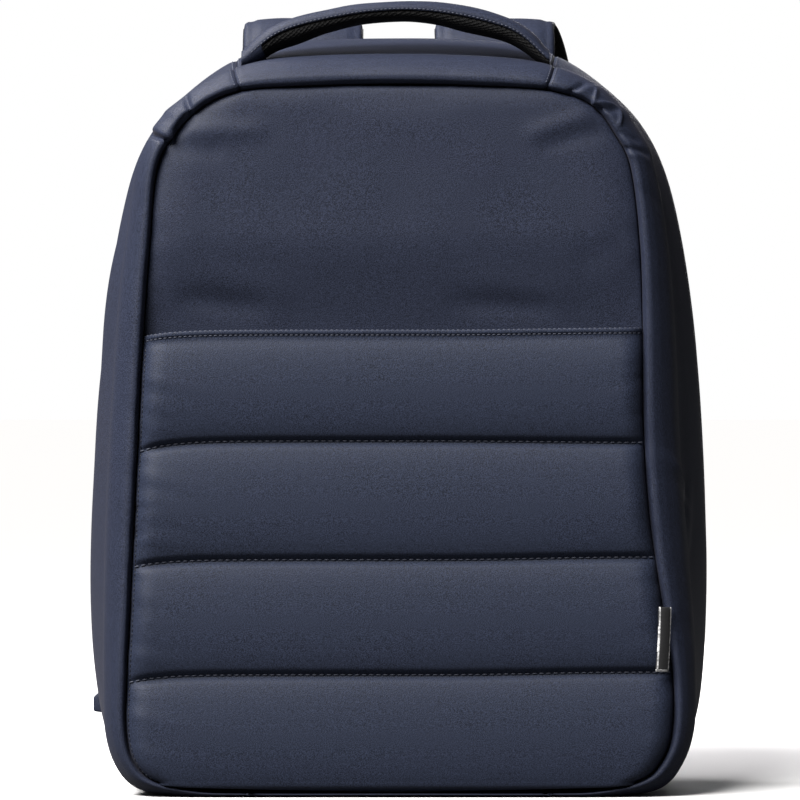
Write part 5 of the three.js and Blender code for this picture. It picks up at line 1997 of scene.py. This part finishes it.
def white_room(strength):
    """A world that looks white but lights the object only softly."""
    world = bpy.data.worlds.new("Studio room")
    bpy.context.scene.world = world
    world.use_nodes = True
    tree = world.node_tree
    tree.nodes.clear()
    soft = add_node(tree, "ShaderNodeBackground", (0, 100))
    soft.inputs["Color"].default_value = (0.92, 0.94, 1.0, 1.0)
    soft.inputs["Strength"].default_value = strength
    seen = add_node(tree, "ShaderNodeBackground", (0, -100))
    seen.inputs["Color"].default_value = (1.0, 1.0, 1.0, 1.0)
    seen.inputs["Strength"].default_value = 1.0
    ray = add_node(tree, "ShaderNodeLightPath", (0, 400))
    mix = add_node(tree, "ShaderNodeMixShader", (250, 0))
    end = add_node(tree, "ShaderNodeOutputWorld", (450, 0))
    tree.links.new(ray.outputs["Is Camera Ray"], mix.inputs[0])
    tree.links.new(soft.outputs[0], mix.inputs[1])
    tree.links.new(seen.outputs[0], mix.inputs[2])
    tree.links.new(mix.outputs[0], end.inputs[0])


class BACKPACK_OT_stage(bpy.types.Operator):
    """Pale floor, soft studio light and the camera"""

    bl_idname = "backpack.stage"
    bl_label = "Studio"

    def execute(self, context):
        light = context.scene.backpack_light
        shape = bmesh.new()
        bmesh.ops.create_circle(shape, cap_ends=True, segments=96, radius=FLOOR_RADIUS)
        floor = object_from_bmesh("studio_floor", shape)
        floor.data.materials.append(material("studio_paper"))
        for name, setting, place, size, colour in AREA_LIGHTS:
            area_light(name, getattr(light, setting), place, size, colour)
        sun_light("key_light", light.key)
        white_room(light.room)
        context.scene.view_settings.view_transform = "Standard"
        front_camera("photo_camera")
        return {"FINISHED"}


class BACKPACK_PT_panel(bpy.types.Panel):
    """Settings and steps of the backpack"""

    bl_label = "Backpack"
    bl_idname = "BACKPACK_PT_panel"
    bl_space_type = "VIEW_3D"
    bl_region_type = "UI"
    bl_category = "Backpack"

    def draw(self, context):
        for group in ("backpack_sizes", "backpack_colours", "backpack_light"):
            settings = getattr(context.scene, group)
            box = self.layout.box()
            for name in settings.__annotations__:
                box.prop(settings, name)
        for step in STEPS:
            self.layout.operator(step.bl_idname)


SETTINGS = {
    "backpack_sizes": BackpackSizes,
    "backpack_colours": BackpackColours,
    "backpack_light": BackpackLight,
}
STEPS = [
    BACKPACK_OT_gusset, BACKPACK_OT_front_panel, BACKPACK_OT_front_pocket,
    BACKPACK_OT_back_panel, BACKPACK_OT_zip, BACKPACK_OT_handle, BACKPACK_OT_shoulder_straps,
    BACKPACK_OT_webbing, BACKPACK_OT_side_label, BACKPACK_OT_stage,
]


def register():
    for kind in (*SETTINGS.values(), *STEPS, BACKPACK_PT_panel):
        bpy.utils.register_class(kind)
    for name, kind in SETTINGS.items():
        setattr(bpy.types.Scene, name, bpy.props.PointerProperty(type=kind))


def unregister():
    for name in SETTINGS:
        delattr(bpy.types.Scene, name)
    for kind in (BACKPACK_PT_panel, *reversed(STEPS), *SETTINGS.values()):
        bpy.utils.unregister_class(kind)


def main():
    register()
    for step in STEPS:
        group, name = step.bl_idname.split(".")
        getattr(getattr(bpy.ops, group), name)()


if __name__ == "__main__":
    main()
